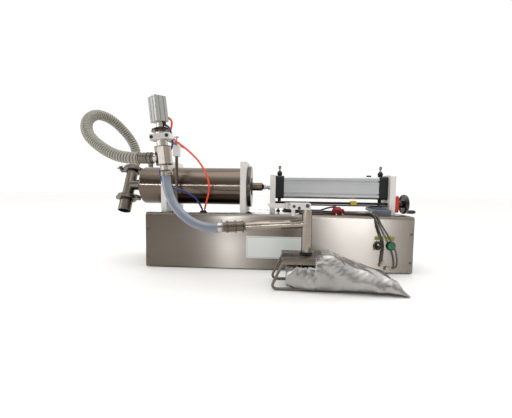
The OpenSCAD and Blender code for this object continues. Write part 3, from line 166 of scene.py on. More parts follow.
def studio_room():
    world = bpy.data.worlds.new("studio")
    scene.world = world
    world.use_nodes = True
    tree = world.node_tree
    tree.nodes.clear()
    compass = add(tree, "ShaderNodeTexCoord").outputs["Generated"]
    way = add(tree, "ShaderNodeSeparateXYZ", {"Vector": compass}).outputs
    room = add(tree, "ShaderNodeValToRGB", {"Fac": ranged(tree, way["X"], -1.0, 1.0)})
    ramp = room.color_ramp.elements
    while len(ramp) < len(ROOM):
        ramp.new(0.5)
    for stop, (at, bright) in zip(ramp, ROOM):
        stop.position = at
        stop.color = (bright, bright * 0.965, bright * 0.92, 1)
    walls = mixed(tree, ranged(tree, way["Y"], -0.15, 0.25), room.outputs[0], (1.04, 1.04, 1.035, 1))
    dome = mixed(tree, ranged(tree, way["Z"], 0.45, 0.85), walls, (1.3, 1.3, 1.3, 1))
    glow = add(tree, "ShaderNodeBackground", {"Color": dome, "Strength": 1.0})
    add(tree, "ShaderNodeOutputWorld", {"Surface": glow.outputs["Background"]})


studio_room()


# Finishes
def surface(name, colour, other, metal=0.0, rough=0.4, spread=0.05, grain=0.8, relief=0.02, blotch=30,
            tint=0.6, coat=0.0, sheen=0.0, smear=0.0, glow_under=0.0, stripe=None, fleck=0.06):
    """A finish: its colour drifts to the other over blotch mm by tint, and its roughness by spread.

    grain is the fine noise's size in mm, in all or one for each axis, relief its height in mm and fleck its
    share in the colour. A smear above 0 draws the gloss out upright, below 0 along X. stripe is an attribute
    and the colour that it brings in.
    """
    material = bpy.data.materials.new(name)
    material.use_nodes = True
    tree = material.node_tree
    tree.nodes.clear()
    place = add(tree, "ShaderNodeTexCoord").outputs["Object"]
    sizes = grain if isinstance(grain, tuple) else (grain, grain, grain)
    fine = add(tree, "ShaderNodeMapping", {"Vector": place, "Scale": [1000 / g for g in sizes]})
    grit = add(tree, "ShaderNodeTexNoise", {
        "Vector": fine.outputs["Vector"], "Scale": 1.0, "Detail": 3.0, "Roughness": 0.55}).outputs["Fac"]
    drift = add(tree, "ShaderNodeTexNoise", {
        "Vector": place, "Scale": 1000 / blotch, "Detail": 4.0, "Roughness": 0.6}).outputs["Fac"]
    hue = mixed(tree, ranged(tree, drift, 0.35, 0.68, 0.0, tint), linear(colour), linear(other))
    hue = mixed(tree, 1.0, hue, ranged(tree, grit, 0.3, 0.7, 1 - fleck, 1 + 0.7 * fleck), "MULTIPLY")
    if stripe:
        rib = add(tree, "ShaderNodeAttribute", attribute_name=stripe[0]).outputs["Fac"]
        hue = mixed(tree, ranged(tree, rib, -1.0, 1.0), hue, linear(stripe[1]))
    gloss = ranged(tree, drift, 0.3, 0.7, max(rough - spread, 0.03), rough + spread)
    bump = add(tree, "ShaderNodeBump", {"Height": grit, "Strength": 0.6, "Distance": relief * MM})
    skin = add(tree, "ShaderNodeBsdfPrincipled", {
        "Base Color": hue, "Metallic": metal, "Roughness": gloss, "Normal": bump.outputs["Normal"],
        "Coat Weight": coat, "Coat Roughness": 0.12, "Sheen Weight": sheen,
        "Anisotropic": abs(smear), "Anisotropic Rotation": 0.25 if smear > 0 else 0.0,
        "Subsurface Weight": glow_under, "Subsurface Scale": 0.004})
    if not metal:
        skin.inputs["IOR"].default_value = 1.48
    add(tree, "ShaderNodeOutputMaterial", {"Surface": skin.outputs["BSDF"]})
    return material


# Brushed stainless sheet: long fine lines that smear the room's reflection. Its warm, uneven tone is partly
# painted reflection of a warm room.
# The lines are drawn 1 mm apart, coarser than real ones, so that they show.
brushed_sheet = surface(
    "brushed_stainless_sheet", "#7b7268", "#71685e", metal=1.0, rough=0.36, spread=0.03,
    grain=(120, 0.8, 0.8), relief=0.006, blotch=260, smear=0.9, fleck=0.03)
# Rolled stainless tube: faint bands round it from the belt and a thin long highlight. Its darker brown tone
# is painted reflection of the dim room it mirrors.
rolled_tube = surface(
    "rolled_stainless_tube", "#6b6056", "#61574d", metal=1.0, rough=0.22, spread=0.02,
    grain=(2.4, 400, 400), relief=0.002, blotch=400, tint=0.4, smear=-0.85, fleck=0.04)
# Cast and blasted stainless fittings: duller and darker, a fine pitted skin.
cast_fitting = surface(
    "cast_stainless_fitting", "#7a736a", "#625b53", metal=1.0, rough=0.3, spread=0.06, grain=0.6,
    relief=0.03, blotch=25)
# Turned bright stainless: small rings from the tool and sharp reflections.
turned_steel = surface(
    "turned_stainless", "#c6bdb3", "#a59b90", metal=1.0, rough=0.2, grain=(14, 14, 0.7), relief=0.012)
# Polished thin stainless pipe: near mirror, slightly warm.
polished_pipe = surface(
    "polished_stainless_pipe", "#978e84", "#857c72", metal=1.0, rough=0.14, spread=0.03,
    grain=(40, 3, 1.2), relief=0.004, blotch=60, tint=0.5, fleck=0.03)
# Ground rods: smooth, cold and bright.
ground_rod = surface(
    "ground_steel_rod", "#c6c6c4", "#aaa9a6", metal=1.0, rough=0.16, spread=0.04, grain=(0.8, 4, 4),
    relief=0.008, blotch=40, tint=0.4)
# Bead blasted aluminium plate: almost white, no direction.
blasted_plate = surface(
    "blasted_aluminium_plate", "#eceae7", "#e2e0dc", metal=0.25, rough=0.46, spread=0.06, grain=0.5,
    relief=0.03, blotch=80)
# Milled aluminium block: pale with faint tool lines.
milled_block = surface(
    "milled_aluminium_block", "#dcdbd7", "#cbcac6", metal=0.35, rough=0.38, spread=0.07,
    grain=(16, 1.2, 1.2), relief=0.015)
# Clear anodised extrusion: pale silver with long die lines.
anodised = surface(
    "clear_anodised_extrusion", "#c6c8cb", "#bcbec1", metal=0.8, rough=0.34, spread=0.02, grain=0.6,
    relief=0.004, blotch=160, tint=0.5, smear=0.3, fleck=0.015)
# The upright actuator, the same extrusion, with its die lines up its length. Its darker copy of the colour
# is painted shade.
anodised_upright_painted_shade = surface(
    "anodised_actuator_painted_shade", "#b5b6b3", "#a7a8a5", metal=0.8, rough=0.36, spread=0.03, grain=0.6,
    relief=0.003, blotch=60, tint=0.4, fleck=0.01)
# Coated die casting of the cylinder caps: dark blue grey, fine orange peel.
cap_coating = surface(
    "coated_die_casting", "#0b1015", "#0f141a", rough=0.55, grain=1.2, relief=0.04, blotch=40)
# Turned cap of the product cylinder: dark polished steel.
dark_cap = surface(
    "dark_turned_cap", "#5d554c", "#453f39", metal=1.0, rough=0.24, grain=(3, 0.9, 0.9), relief=0.012,
    blotch=40, tint=0.7)
# Blued guide rail: near black, with a dull warm gloss.
blued_rail = surface(
    "blued_steel_rail", "#3a3633", "#2b2826", metal=1.0, rough=0.38, spread=0.06, grain=(60, 1, 1),
    relief=0.012, blotch=50)
# Drawn rod and folded plate of the bag rack: dull stainless, brighter along the edges. Its dark tone is
# partly painted shade and dark reflection from under the plate.
rack_steel = surface(
    "dull_drawn_stainless", "#7b736a", "#625b53", metal=1.0, rough=0.3, spread=0.06, grain=(0.8, 30, 2),
    relief=0.003)
# Blackened screws: small dark heads with a metal edge.
dark_screw = surface(
    "blackened_screw", "#6c6862", "#4b4845", metal=1.0, rough=0.34, spread=0.06, grain=0.6, blotch=8)
# Moulded rubber, matt with a slight bloom.
rubber = surface("moulded_rubber", "#17171a", "#242426", rough=0.7, spread=0.08, relief=0.05, sheen=0.15)
# Black moulded plastic with a satin spark texture.
black_plastic = surface(
    "black_moulded_plastic", "#101113", "#1b1c1f", rough=0.38, spread=0.07, grain=0.9, relief=0.04,
    blotch=25)
# Pressed phenolic handwheel: black and glossy.
phenolic = surface("black_phenolic", "#0b0b0d", "#151518", rough=0.24, grain=1.5, tint=0.5, coat=0.3)
# Orange red ABS counter housing.
red_abs = surface(
    "orange_red_abs", "#d92f1c", "#c52615", rough=0.36, grain=0.9, relief=0.03, blotch=20, tint=0.5)
# Dark red PVC of the plug, dusty.
plug_pvc = surface("dark_red_pvc", "#93131f", "#7d0f19", rough=0.42, spread=0.06, relief=0.04, blotch=12)
# Yellow nylon pointer: waxy, the one bright spot below the drive.
yellow_nylon = surface("yellow_nylon", "#d0b71f", "#bda318", grain=0.7, relief=0.03, blotch=10, tint=0.5)
# Green button cap, glossy.
green_cap = surface(
    "green_button_cap", "#0f9455", "#0a8048", rough=0.28, spread=0.04, grain=0.9, blotch=9, tint=0.5,
    coat=0.2)
# White acetal of pistons and valve discs: milky and even.
acetal = surface("white_acetal", "#e8e6de", "#dbd8cf", rough=0.42, tint=0.5)
# White filled mark of the selector, flat and matt.
white_mark = surface("white_mark", "#f1f0ec", "#e2e1dc", rough=0.45, blotch=8, tint=0.5)
# Nickel plate of knurled knobs and glands: small warm glints.
nickel = surface(
    "nickel_plate", "#b3a798", "#94897b", metal=1.0, rough=0.26, grain=(0.6, 0.6, 3), relief=0.03,
    blotch=6)
# Sprayed slate blue paint on the pedal, with an orange peel and rubbed edges.
slate_paint = surface(
    "slate_blue_paint", "#5d6670", "#4d555e", rough=0.42, spread=0.07, grain=1.4, relief=0.07, blotch=28,
    tint=0.7, coat=0.1)
# Rubber of the pedal's tread: the paint's slate, but matt.
pedal_rubber = surface(
    "pedal_tread_rubber", "#4c545d", "#3f464e", rough=0.6, spread=0.06, grain=0.9, relief=0.05,
    blotch=20)
# Bare laminate plate, a faint paper tooth under a clear film.
bare_plate = surface(
    "bare_white_laminate", "#e6eae8", "#dde2df", rough=0.32, grain=0.7, relief=0.015, blotch=70,
    coat=0.25)
# Lime laminate of the two labels, dull and a little uneven.
lime_plate = surface("bare_lime_laminate", "#8d9438", "#7d842f", grain=0.7, blotch=9, tint=0.7)
# Ribbed PVC hose: grey beige wall, a paler hard spiral that the rib attribute picks out.
ribbed_pvc = surface(
    "ribbed_pvc_hose", "#57544a", "#4d4a41", rough=0.34, spread=0.06, grain=1.5, blotch=40, coat=0.3,
    glow_under=0.1, stripe=("rib", "#a3a093"))
# Clear PVC hose filled with air: blue grey, soft inside light, wet gloss.
clear_pvc = surface(
    "clear_pvc_hose", "#747c8a", "#858d9a", rough=0.2, grain=6, blotch=45, tint=0.8, coat=0.4,
    glow_under=0.2)
# Cord jackets, matt PVC with a fine drawn grain.
mains_jacket = surface(
    "mains_cord_pvc", "#4a4644", "#5a5654", rough=0.48, spread=0.06, grain=1.2, relief=0.03)
pedal_jacket = surface(
    "pedal_cord_pvc", "#57534f", "#666260", rough=0.46, spread=0.06, grain=1.2, relief=0.03)
# Polyurethane air tube, glossy, one orange and one navy.
orange_tube = surface(
    "orange_air_tube", "#fb5420", "#f04818", rough=0.26, spread=0.04, grain=3, relief=0.01, blotch=40,
    tint=0.5, coat=0.3, glow_under=0.2)
navy_tube = surface(
    "navy_air_tube", "#12307c", "#0d2563", rough=0.26, spread=0.04, grain=3, relief=0.01, blotch=40,
    tint=0.5, coat=0.3)
# Metallised film: bright, thin, every crease a small mirror.
foil = surface(
    "metallised_film", "#b0adab", "#9b9896", metal=0.95, rough=0.3, grain=2, relief=0.04, blotch=60,
    tint=0.7, fleck=0.03)


def wear(material, piece):
    """The piece's only material."""
    piece.data.materials.clear()
    piece.data.materials.append(material)


def carry(piece, body, *nodes):
    """The piece moves with a body and stands for these CAD nodes."""
    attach(piece, body)
    if nodes:
        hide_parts(*nodes)
    return piece


def dress(piece, finish, body, *nodes):
    """A finished piece on its body."""
    wear(finish, piece)
    carry(piece, body, *nodes)


def ease(piece, width, angle, harden=True):
    """Rounds the edges sharper than angle, width in mm."""
    bevel = piece.modifiers.new("ease", "BEVEL")
    bevel.width = width * MM
    bevel.segments = 2
    bevel.limit_method = "ANGLE"
    bevel.angle_limit = math.radians(angle)
    bevel.harden_normals = harden


def sharpen(mesh, angle):
    """Smooth shading that breaks at edges sharper than angle."""
    mesh.shade_smooth()
    mesh.set_sharp_from_angle(angle=math.radians(angle))


def solid(name, verts, faces, sharp):
    """An object from points in metres and faces, turned outward."""
    mesh = bpy.data.meshes.new(name)
    mesh.from_pydata(verts, [], faces)
    bm = bmesh.new()
    bm.from_mesh(mesh)
    bmesh.ops.recalc_face_normals(bm, faces=bm.faces)
    bm.to_mesh(mesh)
    bm.free()
    sharpen(mesh, sharp)
    return link_object(name, mesh)


def wall_faces(rings, sides):
    """Quads between rings of points."""
    steps = [(k, (k + 1) % sides) for k in range(sides)]
    starts = [(i * sides, (i + 1) * sides) for i in range(rings - 1)]
    return [(near + k, far + k, far + j, near + j) for near, far in starts for k, j in steps]


def end_faces(rings, sides):
    """The first and the last ring, filled."""
    return [tuple(range(sides)), tuple(reversed(range((rings - 1) * sides, rings * sides)))]


def lathe(name, profile, spot, finish, body, *nodes):
    """A turned solid from (along, radius) in mm; spot places a point of the axis's own frame."""
    sides = 72
    turns = [2 * math.pi * k / sides for k in range(sides)]
    verts = [spot(at, r * math.cos(a), r * math.sin(a)) for at, r in profile for a in turns]
    piece = solid(name, verts, wall_faces(len(profile), sides) + end_faces(len(profile), sides), 34)
    dress(piece, finish, body, *nodes)


def on_nozzle(x, y, z):
    """A point of the leaning nozzle's own frame, in mm."""
    return Vector((-325 + x * math.cos(LEAN) - z * math.sin(LEAN), -215 + y,
                   393 + x * math.sin(LEAN) + z * math.cos(LEAN)))


def smooth_path(points, every=2.0):
    """A smooth line through points in mm, a point about every so many mm, in metres."""
    p = [Vector(q) for q in points]
    out = []
    for i in range(len(p) - 1):
        a, b, c, d = p[max(i - 1, 0)], p[i], p[i + 1], p[min(i + 2, len(p) - 1)]
        n = max(2, round((c - b).length / every))
        for j in range(n):
            t = j / n
            bend = (2 * a - 5 * b + 4 * c - d) * t * t
            out.append(0.5 * (2 * b + (c - a) * t + bend + (3 * b - a - 3 * c + d) * t ** 3) * MM)
    out.append(p[-1] * MM)
    return out


def tube(name, path, radius, sides=20, closed_ends=True):
    """A mesh tube along a path in metres; radius is a number or a function of the length run, in metres."""
    verts, run = [], 0.0
    up = Vector((0.31, 0.2, 0.93))
    turns = [2 * math.pi * k / sides for k in range(sides)]
    for i, p in enumerate(path):
        t = (path[min(i + 1, len(path) - 1)] - path[max(i - 1, 0)]).normalized()
        up = (up - t * up.dot(t)).normalized()
        side = t.cross(up)
        if i:
            run += (p - path[i - 1]).length
        r = radius(run) if callable(radius) else radius
        verts += [p + r * (math.cos(a) * up + math.sin(a) * side) for a in turns]
    faces = wall_faces(len(path), sides)
    if closed_ends:
        faces += end_faces(len(path), sides)
    return solid(name, verts, faces, 50)


# Free cords, before all pieces: the two leads run up the front sheet and lie wound on the cabinet.
def cord_curve(name, path, material):
    """A round cord along a path in metres."""
    curve = bpy.data.curves.new(name, "CURVE")
    curve.dimensions = "3D"
    line = curve.splines.new("POLY")
    line.points.add(len(path) - 1)
    for point, place in zip(line.points, path):
        point.co = (*place, 1)
        point.radius = 1
    curve.bevel_depth = CORD / 2 * MM
    curve.bevel_resolution = 4
    curve.use_fill_caps = True
    curve.materials.append(material)
    return link_object(name, curve)


def wound(centre, start, turns):
    """Turns of a cord round centre, from the angle start: three inward, the rest outward on top of them."""
    innermost, inward, rest, steps_a_turn = 24.2, 3.0, 0.3, 32
    gap = CORD + 0.1
    steps = int(turns * steps_a_turn)
    out = []
    for i in range(steps + 1):
        t = turns * i / steps
        a = math.radians(start - 360 * t)
        if t < inward:
            r = innermost + gap * inward - gap * t
        elif t < inward + rest:
            r = innermost
        else:
            r = innermost + gap * (t - inward - rest)
        lift = min(max((t - inward + 0.2) / 0.45, 0), 1)
        z = TOP + 0.3 + CORD / 2 + (CORD + 0.15) * lift * lift * (3 - 2 * lift)
        out.append((centre[0] + r * math.cos(a), centre[1] + r * math.sin(a), z))
    return out


MAINS_FRONT = [
    (320, -127, 41), (320, -127, 47), (320.2, -127.4, 56), (321.4, -126.6, 68), (322.8, -125.2, 79),
    (322.9, -124.9, 88), (320.6, -125.6, 100), (315.6, -126.6, 113), (309.5, -126.6, 128),
    (303.3, -125, 145), (299.6, -122.5, 158.5), (298.4, -120.7, 167.7), (296, -115.5, 175.5),
    (291.8, -107.7, 180.7), (286, -98.5, 182.3), (279.5, -90, 181.2), (271, -81.5, 178.9),
    (262, -75, 178.05), (250, -68.5, 178.05), (234, -62.5, 178.05), (212, -58, 178.05),
    (190, -57.5, 178.05), (172, -62.5, 178.05), (156, -73.5, 178.05)]
MAINS_BACK = [
    (130, -24.6, 183.9), (147, -24, 184.6), (160, -22.8, 188.4), (169, -22.8, 191.6), (180.5, -26.2, 194.8),
    (189.6, -35, 197), (193, -47.4, 197.3), (193, -56.85, 194.67)]
PEDAL_FRONT = [
    (348, -125.5, 18), (350.5, -125.5, 18), (355, -126.4, 19), (358.8, -128, 21.8), (361.2, -130, 26),
    (362, -132, 31.5), (361, -134.5, 46), (357, -136.8, 66), (350, -138, 85), (341, -137, 103),
    (329, -134, 124), (316.5, -130, 145), (309.6, -125.4, 158.5), (307.3, -121.9, 167),
    (304.6, -117.1, 174.1), (301, -109.9, 178.8), (296.5, -102, 180.2), (290.5, -91, 178.9),
    (281, -77, 178.05), (267, -63.5, 178.05), (250, -54, 178.05), (230, -45.5, 178.05), (204, -34, 178.05),
    (178, -20.5, 178.05), (150, -10.5, 178.05), (124, -6.5, 178.05), (100, -8.5, 178.05)]
PEDAL_BACK = [
    (103.5, 33.5, 183.4), (117, 23, 179.6), (134, 16, 178.05), (160, 10, 178.05), (188, 2.5, 178.05),
    (216, -7.5, 178.05), (243, -23, 178.05), (263, -39, 178.05), (276, -51.5, 178.1), (286, -57.8, 178.1),
    (293, -59, 178.1), (297, -59, 178.1)]
mains_line = smooth_path(MAINS_FRONT + wound((112, -62), -45, 5.625) + MAINS_BACK)
mains_cord = cord_curve("mains_lead", mains_line, mains_jacket)
pedal_line = smooth_path(PEDAL_FRONT + wound((62, 24), -70, 5.694) + PEDAL_BACK)
pedal_cord = cord_curve("pedal_lead", pedal_line, pedal_jacket)


# Carried-over solids with eased edges
shown = {}


def loose_parts(bm):
    """The faces of each part of a mesh that hangs together."""
    seen = set()
    for first in bm.faces:
        if first in seen:
            continue
        part, stack = [], [first]
        seen.add(first)
        while stack:
            face = stack.pop()
            part.append(face)
            for near in (g for edge in face.edges for g in edge.link_faces if g not in seen):
                seen.add(near)
                stack.append(near)
        yield part


def refine(node, *finishes, edge=0.5, smooth=30, zone=None, keep=None):
    """A copy of a CAD node with its flat faces joined and its edges eased by edge mm.

    zone picks a finish by a face's centre in mm; keep says by its middle in metres which loose part stays.
    """
    source = NODES[node]
    mesh = source.data.copy()
    mesh.name = node + "_eased"
    for label in ("custom_normal", "sharp_face", "sharp_edge"):
        if label in mesh.attributes:
            mesh.attributes.remove(mesh.attributes[label])
    mesh.materials.clear()
    for finish in finishes:
        mesh.materials.append(finish)
    bm = bmesh.new()
    bm.from_mesh(mesh)
    bmesh.ops.remove_doubles(bm, verts=bm.verts, dist=2e-5)
    if keep:
        doomed = []
        for part in list(loose_parts(bm)):
            if not keep(sum((f.calc_center_median() for f in part), Vector()) / len(part)):
                doomed += part
        bmesh.ops.delete(bm, geom=doomed, context="FACES")
    bmesh.ops.dissolve_limit(bm, angle_limit=math.radians(0.7), verts=bm.verts, edges=bm.edges)
    for face in bm.faces:
        face.smooth = True
        face.material_index = zone(face.calc_center_median() * 1000) if zone else 0
    bm.to_mesh(mesh)
    bm.free()
    mesh.set_sharp_from_angle(angle=math.radians(smooth))
    made = link_object(node + "_eased", mesh)
    if edge:
        ease(made, edge, 38)
    shown[node] = carry(made, source["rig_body"], node)
    return made


def ground_end(c):
    """The product rod is ground where it leaves the cylinder."""
    return 0 if c.x < -44 else 1


def cross_block(c):
    """The nozzle stand's pale block, where its two rods cross."""
    return 1 if abs(c.y + 85) < 13 and c.z > 345 else 0


def glands(c):
    """The two cord glands, below the selector and the button."""
    return 1 if c.z < 60 else 0


def plug_pins(c):
    """The pins, in front of the plug's leaning face."""
    slope = math.radians(71)
    return 1 if (c.y + 89) * math.sin(slope) + (c.z - 183.6) * math.cos(slope) < -0.3 else 0


def off_nozzle(middle):
    """The seal rings away from the nozzle, whose own is joint_flange."""
    return not (-0.36 < middle.x < -0.28 and middle.z > 0.38)


# cabinet and cylinders
refine("cabinet_shell", brushed_sheet, edge=0.4, smooth=22)
refine("cabinet_panels", brushed_sheet, edge=0.6, smooth=22)
refine("rubber_feet", rubber, edge=0.6)
refine("support_plates", blasted_plate, edge=0.8)
refine("product_cylinder", rolled_tube, edge=0.0, smooth=24)
refine("rear_cap", dark_cap, edge=0.8, smooth=24)
refine("product_piston", acetal, edge=0.4)
refine("piston_seals", rubber, edge=0.3)
refine("product_rod", rolled_tube, ground_rod, edge=0.4, zone=ground_end)
refine("drive_rod", ground_rod, edge=0.3)
refine("drive_barrel", anodised, edge=0.25, smooth=24)
refine("drive_caps", cap_coating, edge=1.0, smooth=24)
refine("flow_knob_front", nickel, edge=0.15)
refine("flow_knob_rear", nickel, edge=0.15)
refine("air_fittings", black_plastic, edge=0.3)
# stroke setting
refine("guide_rail", blued_rail, edge=0.3)
refine("spindle", blued_rail, edge=0.3)
refine("position_indicator", red_abs, edge=1.2)
refine("pointer_carriage", yellow_nylon)
# tee and its valves
refine("tee_pipes", cast_fitting, edge=0.4, smooth=28)
refine("tee_clamps", cast_fitting, edge=0.8, smooth=28)
refine("wing_nut_upper", cast_fitting)
refine("wing_nut_lower", cast_fitting)
refine("suction_valve", acetal, edge=0.3)
refine("discharge_valve", acetal, edge=0.3)
refine("seal_rings", rubber, edge=0.8, keep=off_nozzle)
# nozzle
refine("inlet_coupling", cast_fitting, edge=0.5, smooth=28)
refine("nozzle_body", turned_steel, edge=0.6, smooth=28)
refine("nozzle_neck", turned_steel, edge=0.5, smooth=28)
refine("clamp_block", milled_block, edge=0.8)
refine("actuator_body", anodised_upright_painted_shade, edge=0.35, smooth=24)
refine("nozzle_plunger", ground_rod, edge=0.3)
refine("nozzle_stand", rolled_tube, milled_block, edge=0.5, zone=cross_block)
refine("thumb_screw", turned_steel)
# filling head
refine("hose_clamps", turned_steel, edge=0.3)
refine("feed_union", rolled_tube, edge=0.5, smooth=24)
refine("head_tube", polished_pipe, edge=0.2, smooth=28)
refine("head_block", milled_block, edge=0.6)
refine("lever_arm", milled_block)
refine("bag_spout", black_plastic)
# controls, pedal and plug
refine("panel_fittings", black_plastic, nickel, edge=0.6, smooth=28, zone=glands)
refine("selector_knob", black_plastic, edge=0.6)
refine("start_button", green_cap, edge=0.8)
refine("pedal_base", slate_paint, edge=0.8)
refine("pedal_treadle", slate_paint, edge=1.0)
plug = refine("mains_plug", plug_pvc, ground_rod, edge=0.9, smooth=35, zone=plug_pins)


# Light linking
def light_only(box, *nodes):
    """The box lights these nodes' pieces and nothing else."""
    lit = bpy.data.collections.new(box.name + "_pieces")
    for node in nodes:
        lit.objects.link(shown[node])
    box.light_linking.receiver_collection = lit


for sheet_box in sheet_boxes:
    light_only(sheet_box, "cabinet_shell", "cabinet_panels")
    sheet_box.visible_camera = False
light_only(strip_box, "product_cylinder", "rear_cap", "product_rod", "head_tube", "drive_rod")
light_only(tube_box, "head_tube", "nozzle_body", "nozzle_neck", "tee_pipes", "tee_clamps", "feed_union",
           "inlet_coupling", "nozzle_stand")


# The cords ride on the machine in place of the coil and cord nodes; their first points and lengths are
# worked out and not kept
def line_length(path):
    """Length of a path in metres, to the millimetre."""
    return round(sum((b - a).length for a, b in zip(path, path[1:])), 3)


carry(mains_cord, "machine", "mains_coil", "mains_cord")
carry(pedal_cord, "machine", "pedal_coil", "pedal_cord")
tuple(mains_line[0])
line_length(mains_line)
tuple(pedal_line[0])
line_length(pedal_line)


# Turned pieces: the dished handwheel with its fat rim, its grip, and the rings of the nozzle
HANDWHEEL = [
    (394, 8), (394, 10), (395, 11), (404, 11.4), (411, 12.4), (412.4, 21), (411.6, 24.4), (409.4, 26.4),
    (408.4, 28.4), (409, 30.4), (411, 31.7), (414.4, 32), (418, 31.6), (420.2, 30.2), (420.6, 28),
    (419.6, 25.8), (417.4, 24.2), (416.6, 21), (416.6, 12.4), (419, 11.4), (420, 10), (420, 8)]
GRIP = [
    (420.6, 2), (420.6, 4), (421.4, 5), (425, 5.6), (436, 6.4), (446, 6.3), (450, 5.6), (452, 3.8),
    (452.6, 1)]
FLANGE = [
    (15.2, 9), (15.2, 24.4), (15.8, 25.1), (18.2, 25.1), (18.8, 24.4), (19, 21.5), (20.4, 21.5),
    (20.6, 23.4), (21.2, 24), (22.4, 24), (23, 23.2), (25.6, 17), (26.2, 15), (26.2, 9)]


def level_axis(y, z):
    """Places points round an axis along X."""
    return lambda along, u, v: mm(along, y + u, z + v)


def nozzle_axis(along, u, v):
    """Places points round the nozzle's leaning axis."""
    return mm(*on_nozzle(u, v, along))


def ring(low, high, r, inside, edge):
    """The profile of a ring from low to high with broken edges."""
    rising = [(low, r - inside), (low, r - edge), (low + edge, r)]
    return rising + [(high - edge, r), (high, r - edge), (high, r - inside)]


lathe("dished_handwheel", HANDWHEEL, level_axis(-36, 209.5), phenolic, "handwheel_assembly", "handwheel")
lathe("turning_grip", GRIP, level_axis(-36, 184.5), phenolic, "grip", "crank_grip")
lathe("joint_flange", FLANGE, nozzle_axis, dark_cap, "machine", "seal_rings")
for k, at in enumerate((-363, -352.6), 1):
    profile = ring(at - 1.3, at + 1.3, 16.9, 3.9, 0.6)
    lathe(f"coupling_ring_{k}", profile, level_axis(-215, 335), rubber, "machine")
for k, seam in enumerate(((-27.4, -26, 22.9), (-76.8, -75.4, 22.9), (-93.2, -91.6, 14.6)), 1):
    lathe(f"nozzle_seam_{k}", ring(*seam, 4, 0.4), nozzle_axis, rubber, "machine")


# Node trees for what repeats
def new_tree(name, sizes):
    """A tree with a mesh in, a mesh out and these named sizes; also its inputs."""
    tree = bpy.data.node_groups.new(name, "GeometryNodeTree")
    tree.interface.new_socket("Mesh", in_out="INPUT", socket_type="NodeSocketGeometry")
    for label, kind, value in sizes:
        socket = tree.interface.new_socket(label, in_out="INPUT", socket_type="NodeSocket" + kind)
        if value is not None:
            socket.default_value = value
    tree.interface.new_socket("Mesh", in_out="OUTPUT", socket_type="NodeSocketGeometry")
    return tree, add(tree, "NodeGroupInput").outputs


def number(tree, how, first, second=0.5):
    """The result of a sum on numbers."""
    return add(tree, "ShaderNodeMath", {0: first, 1: second}, operation=how).outputs[0]


def marked(tree, shape, name, value):
    """The shape with a number stored on its points."""
    made = add(tree, "GeometryNodeStoreNamedAttribute", {"Geometry": shape, "Name": name, "Value": value},
               data_type="FLOAT", domain="POINT")
    return made.outputs[0]


def read_mark(tree, name, kind="FLOAT"):
    """What is stored on the points under a name."""
    return add(tree, "GeometryNodeInputNamedAttribute", {"Name": name}, data_type=kind).outputs[0]


def end_tree(tree, shape, finish):
    """Ends the tree in real geometry that wears the finish."""
    real = add(tree, "GeometryNodeRealizeInstances", {"Geometry": shape}).outputs[0]
    coated = add(tree, "GeometryNodeSetMaterial", {"Geometry": real, "Material": finish}).outputs[0]
    add(tree, "NodeGroupOutput", {"Mesh": coated})
    return tree


def grow(name, tree, start, sizes, *nodes):
    """Runs a tree on a start mesh with its sizes and leaves a plain mesh on the machine."""
    seed = link_object(name + "_seed", start)
    run = seed.modifiers.new("grow", "NODES")
    run.node_group = tree
    for item in tree.interface.items_tree:
        if item.in_out == "INPUT" and item.name in sizes:
            run[item.identifier] = sizes[item.name]
    graph = bpy.context.evaluated_depsgraph_get()
    mesh = bpy.data.meshes.new_from_object(seed.evaluated_get(graph))
    bpy.data.objects.remove(seed)
    return carry(link_object(name, mesh), "machine", *nodes)


def hose_tree():
    """A hose along a line of points, its wall raised in a spiral that the rib attribute marks."""
    tree, given = new_tree("ribbed_hose", (
        ("Radius", "Float", 0.0165), ("Pitch", "Float", 0.006), ("Rib height", "Float", 0.0006),
        ("Finish", "Material", None)))
    line = add(tree, "GeometryNodeMeshToCurve", {"Mesh": given["Mesh"]}).outputs[0]
    step = number(tree, "DIVIDE", given["Pitch"], 8.0)
    even = add(tree, "GeometryNodeResampleCurve", {"Curve": line, "Length": step}, mode="LENGTH").outputs[0]
    spine = marked(tree, even, "along", add(tree, "GeometryNodeSplineParameter").outputs["Length"])
    circle = add(tree, "GeometryNodeCurvePrimitiveCircle", {"Resolution": 28, "Radius": given["Radius"]})
    around = add(tree, "GeometryNodeSplineParameter").outputs["Factor"]
    profile = marked(tree, circle.outputs[0], "round", around)
    # its ends stay open, as the discharge disc lifts into the lower one
    wall = add(tree, "GeometryNodeCurveToMesh", {
        "Curve": spine, "Profile Curve": profile, "Fill Caps": False}).outputs[0]
    turns = number(tree, "DIVIDE", read_mark(tree, "along"), given["Pitch"])
    phase = number(tree, "ADD", turns, read_mark(tree, "round"))
    wave = number(tree, "SINE", number(tree, "MULTIPLY", phase, 2 * math.pi))
    lift = number(tree, "MULTIPLY", wave, given["Rib height"])
    outward = add(tree, "GeometryNodeInputNormal").outputs[0]
    push = add(tree, "ShaderNodeVectorMath", {0: outward, "Scale": lift}, operation="SCALE").outputs[0]
    ribbed = marked(tree, wall, "rib", wave)
    moved = add(tree, "GeometryNodeSetPosition", {"Geometry": ribbed, "Offset": push})
    return end_tree(tree, moved.outputs[0], given["Finish"])


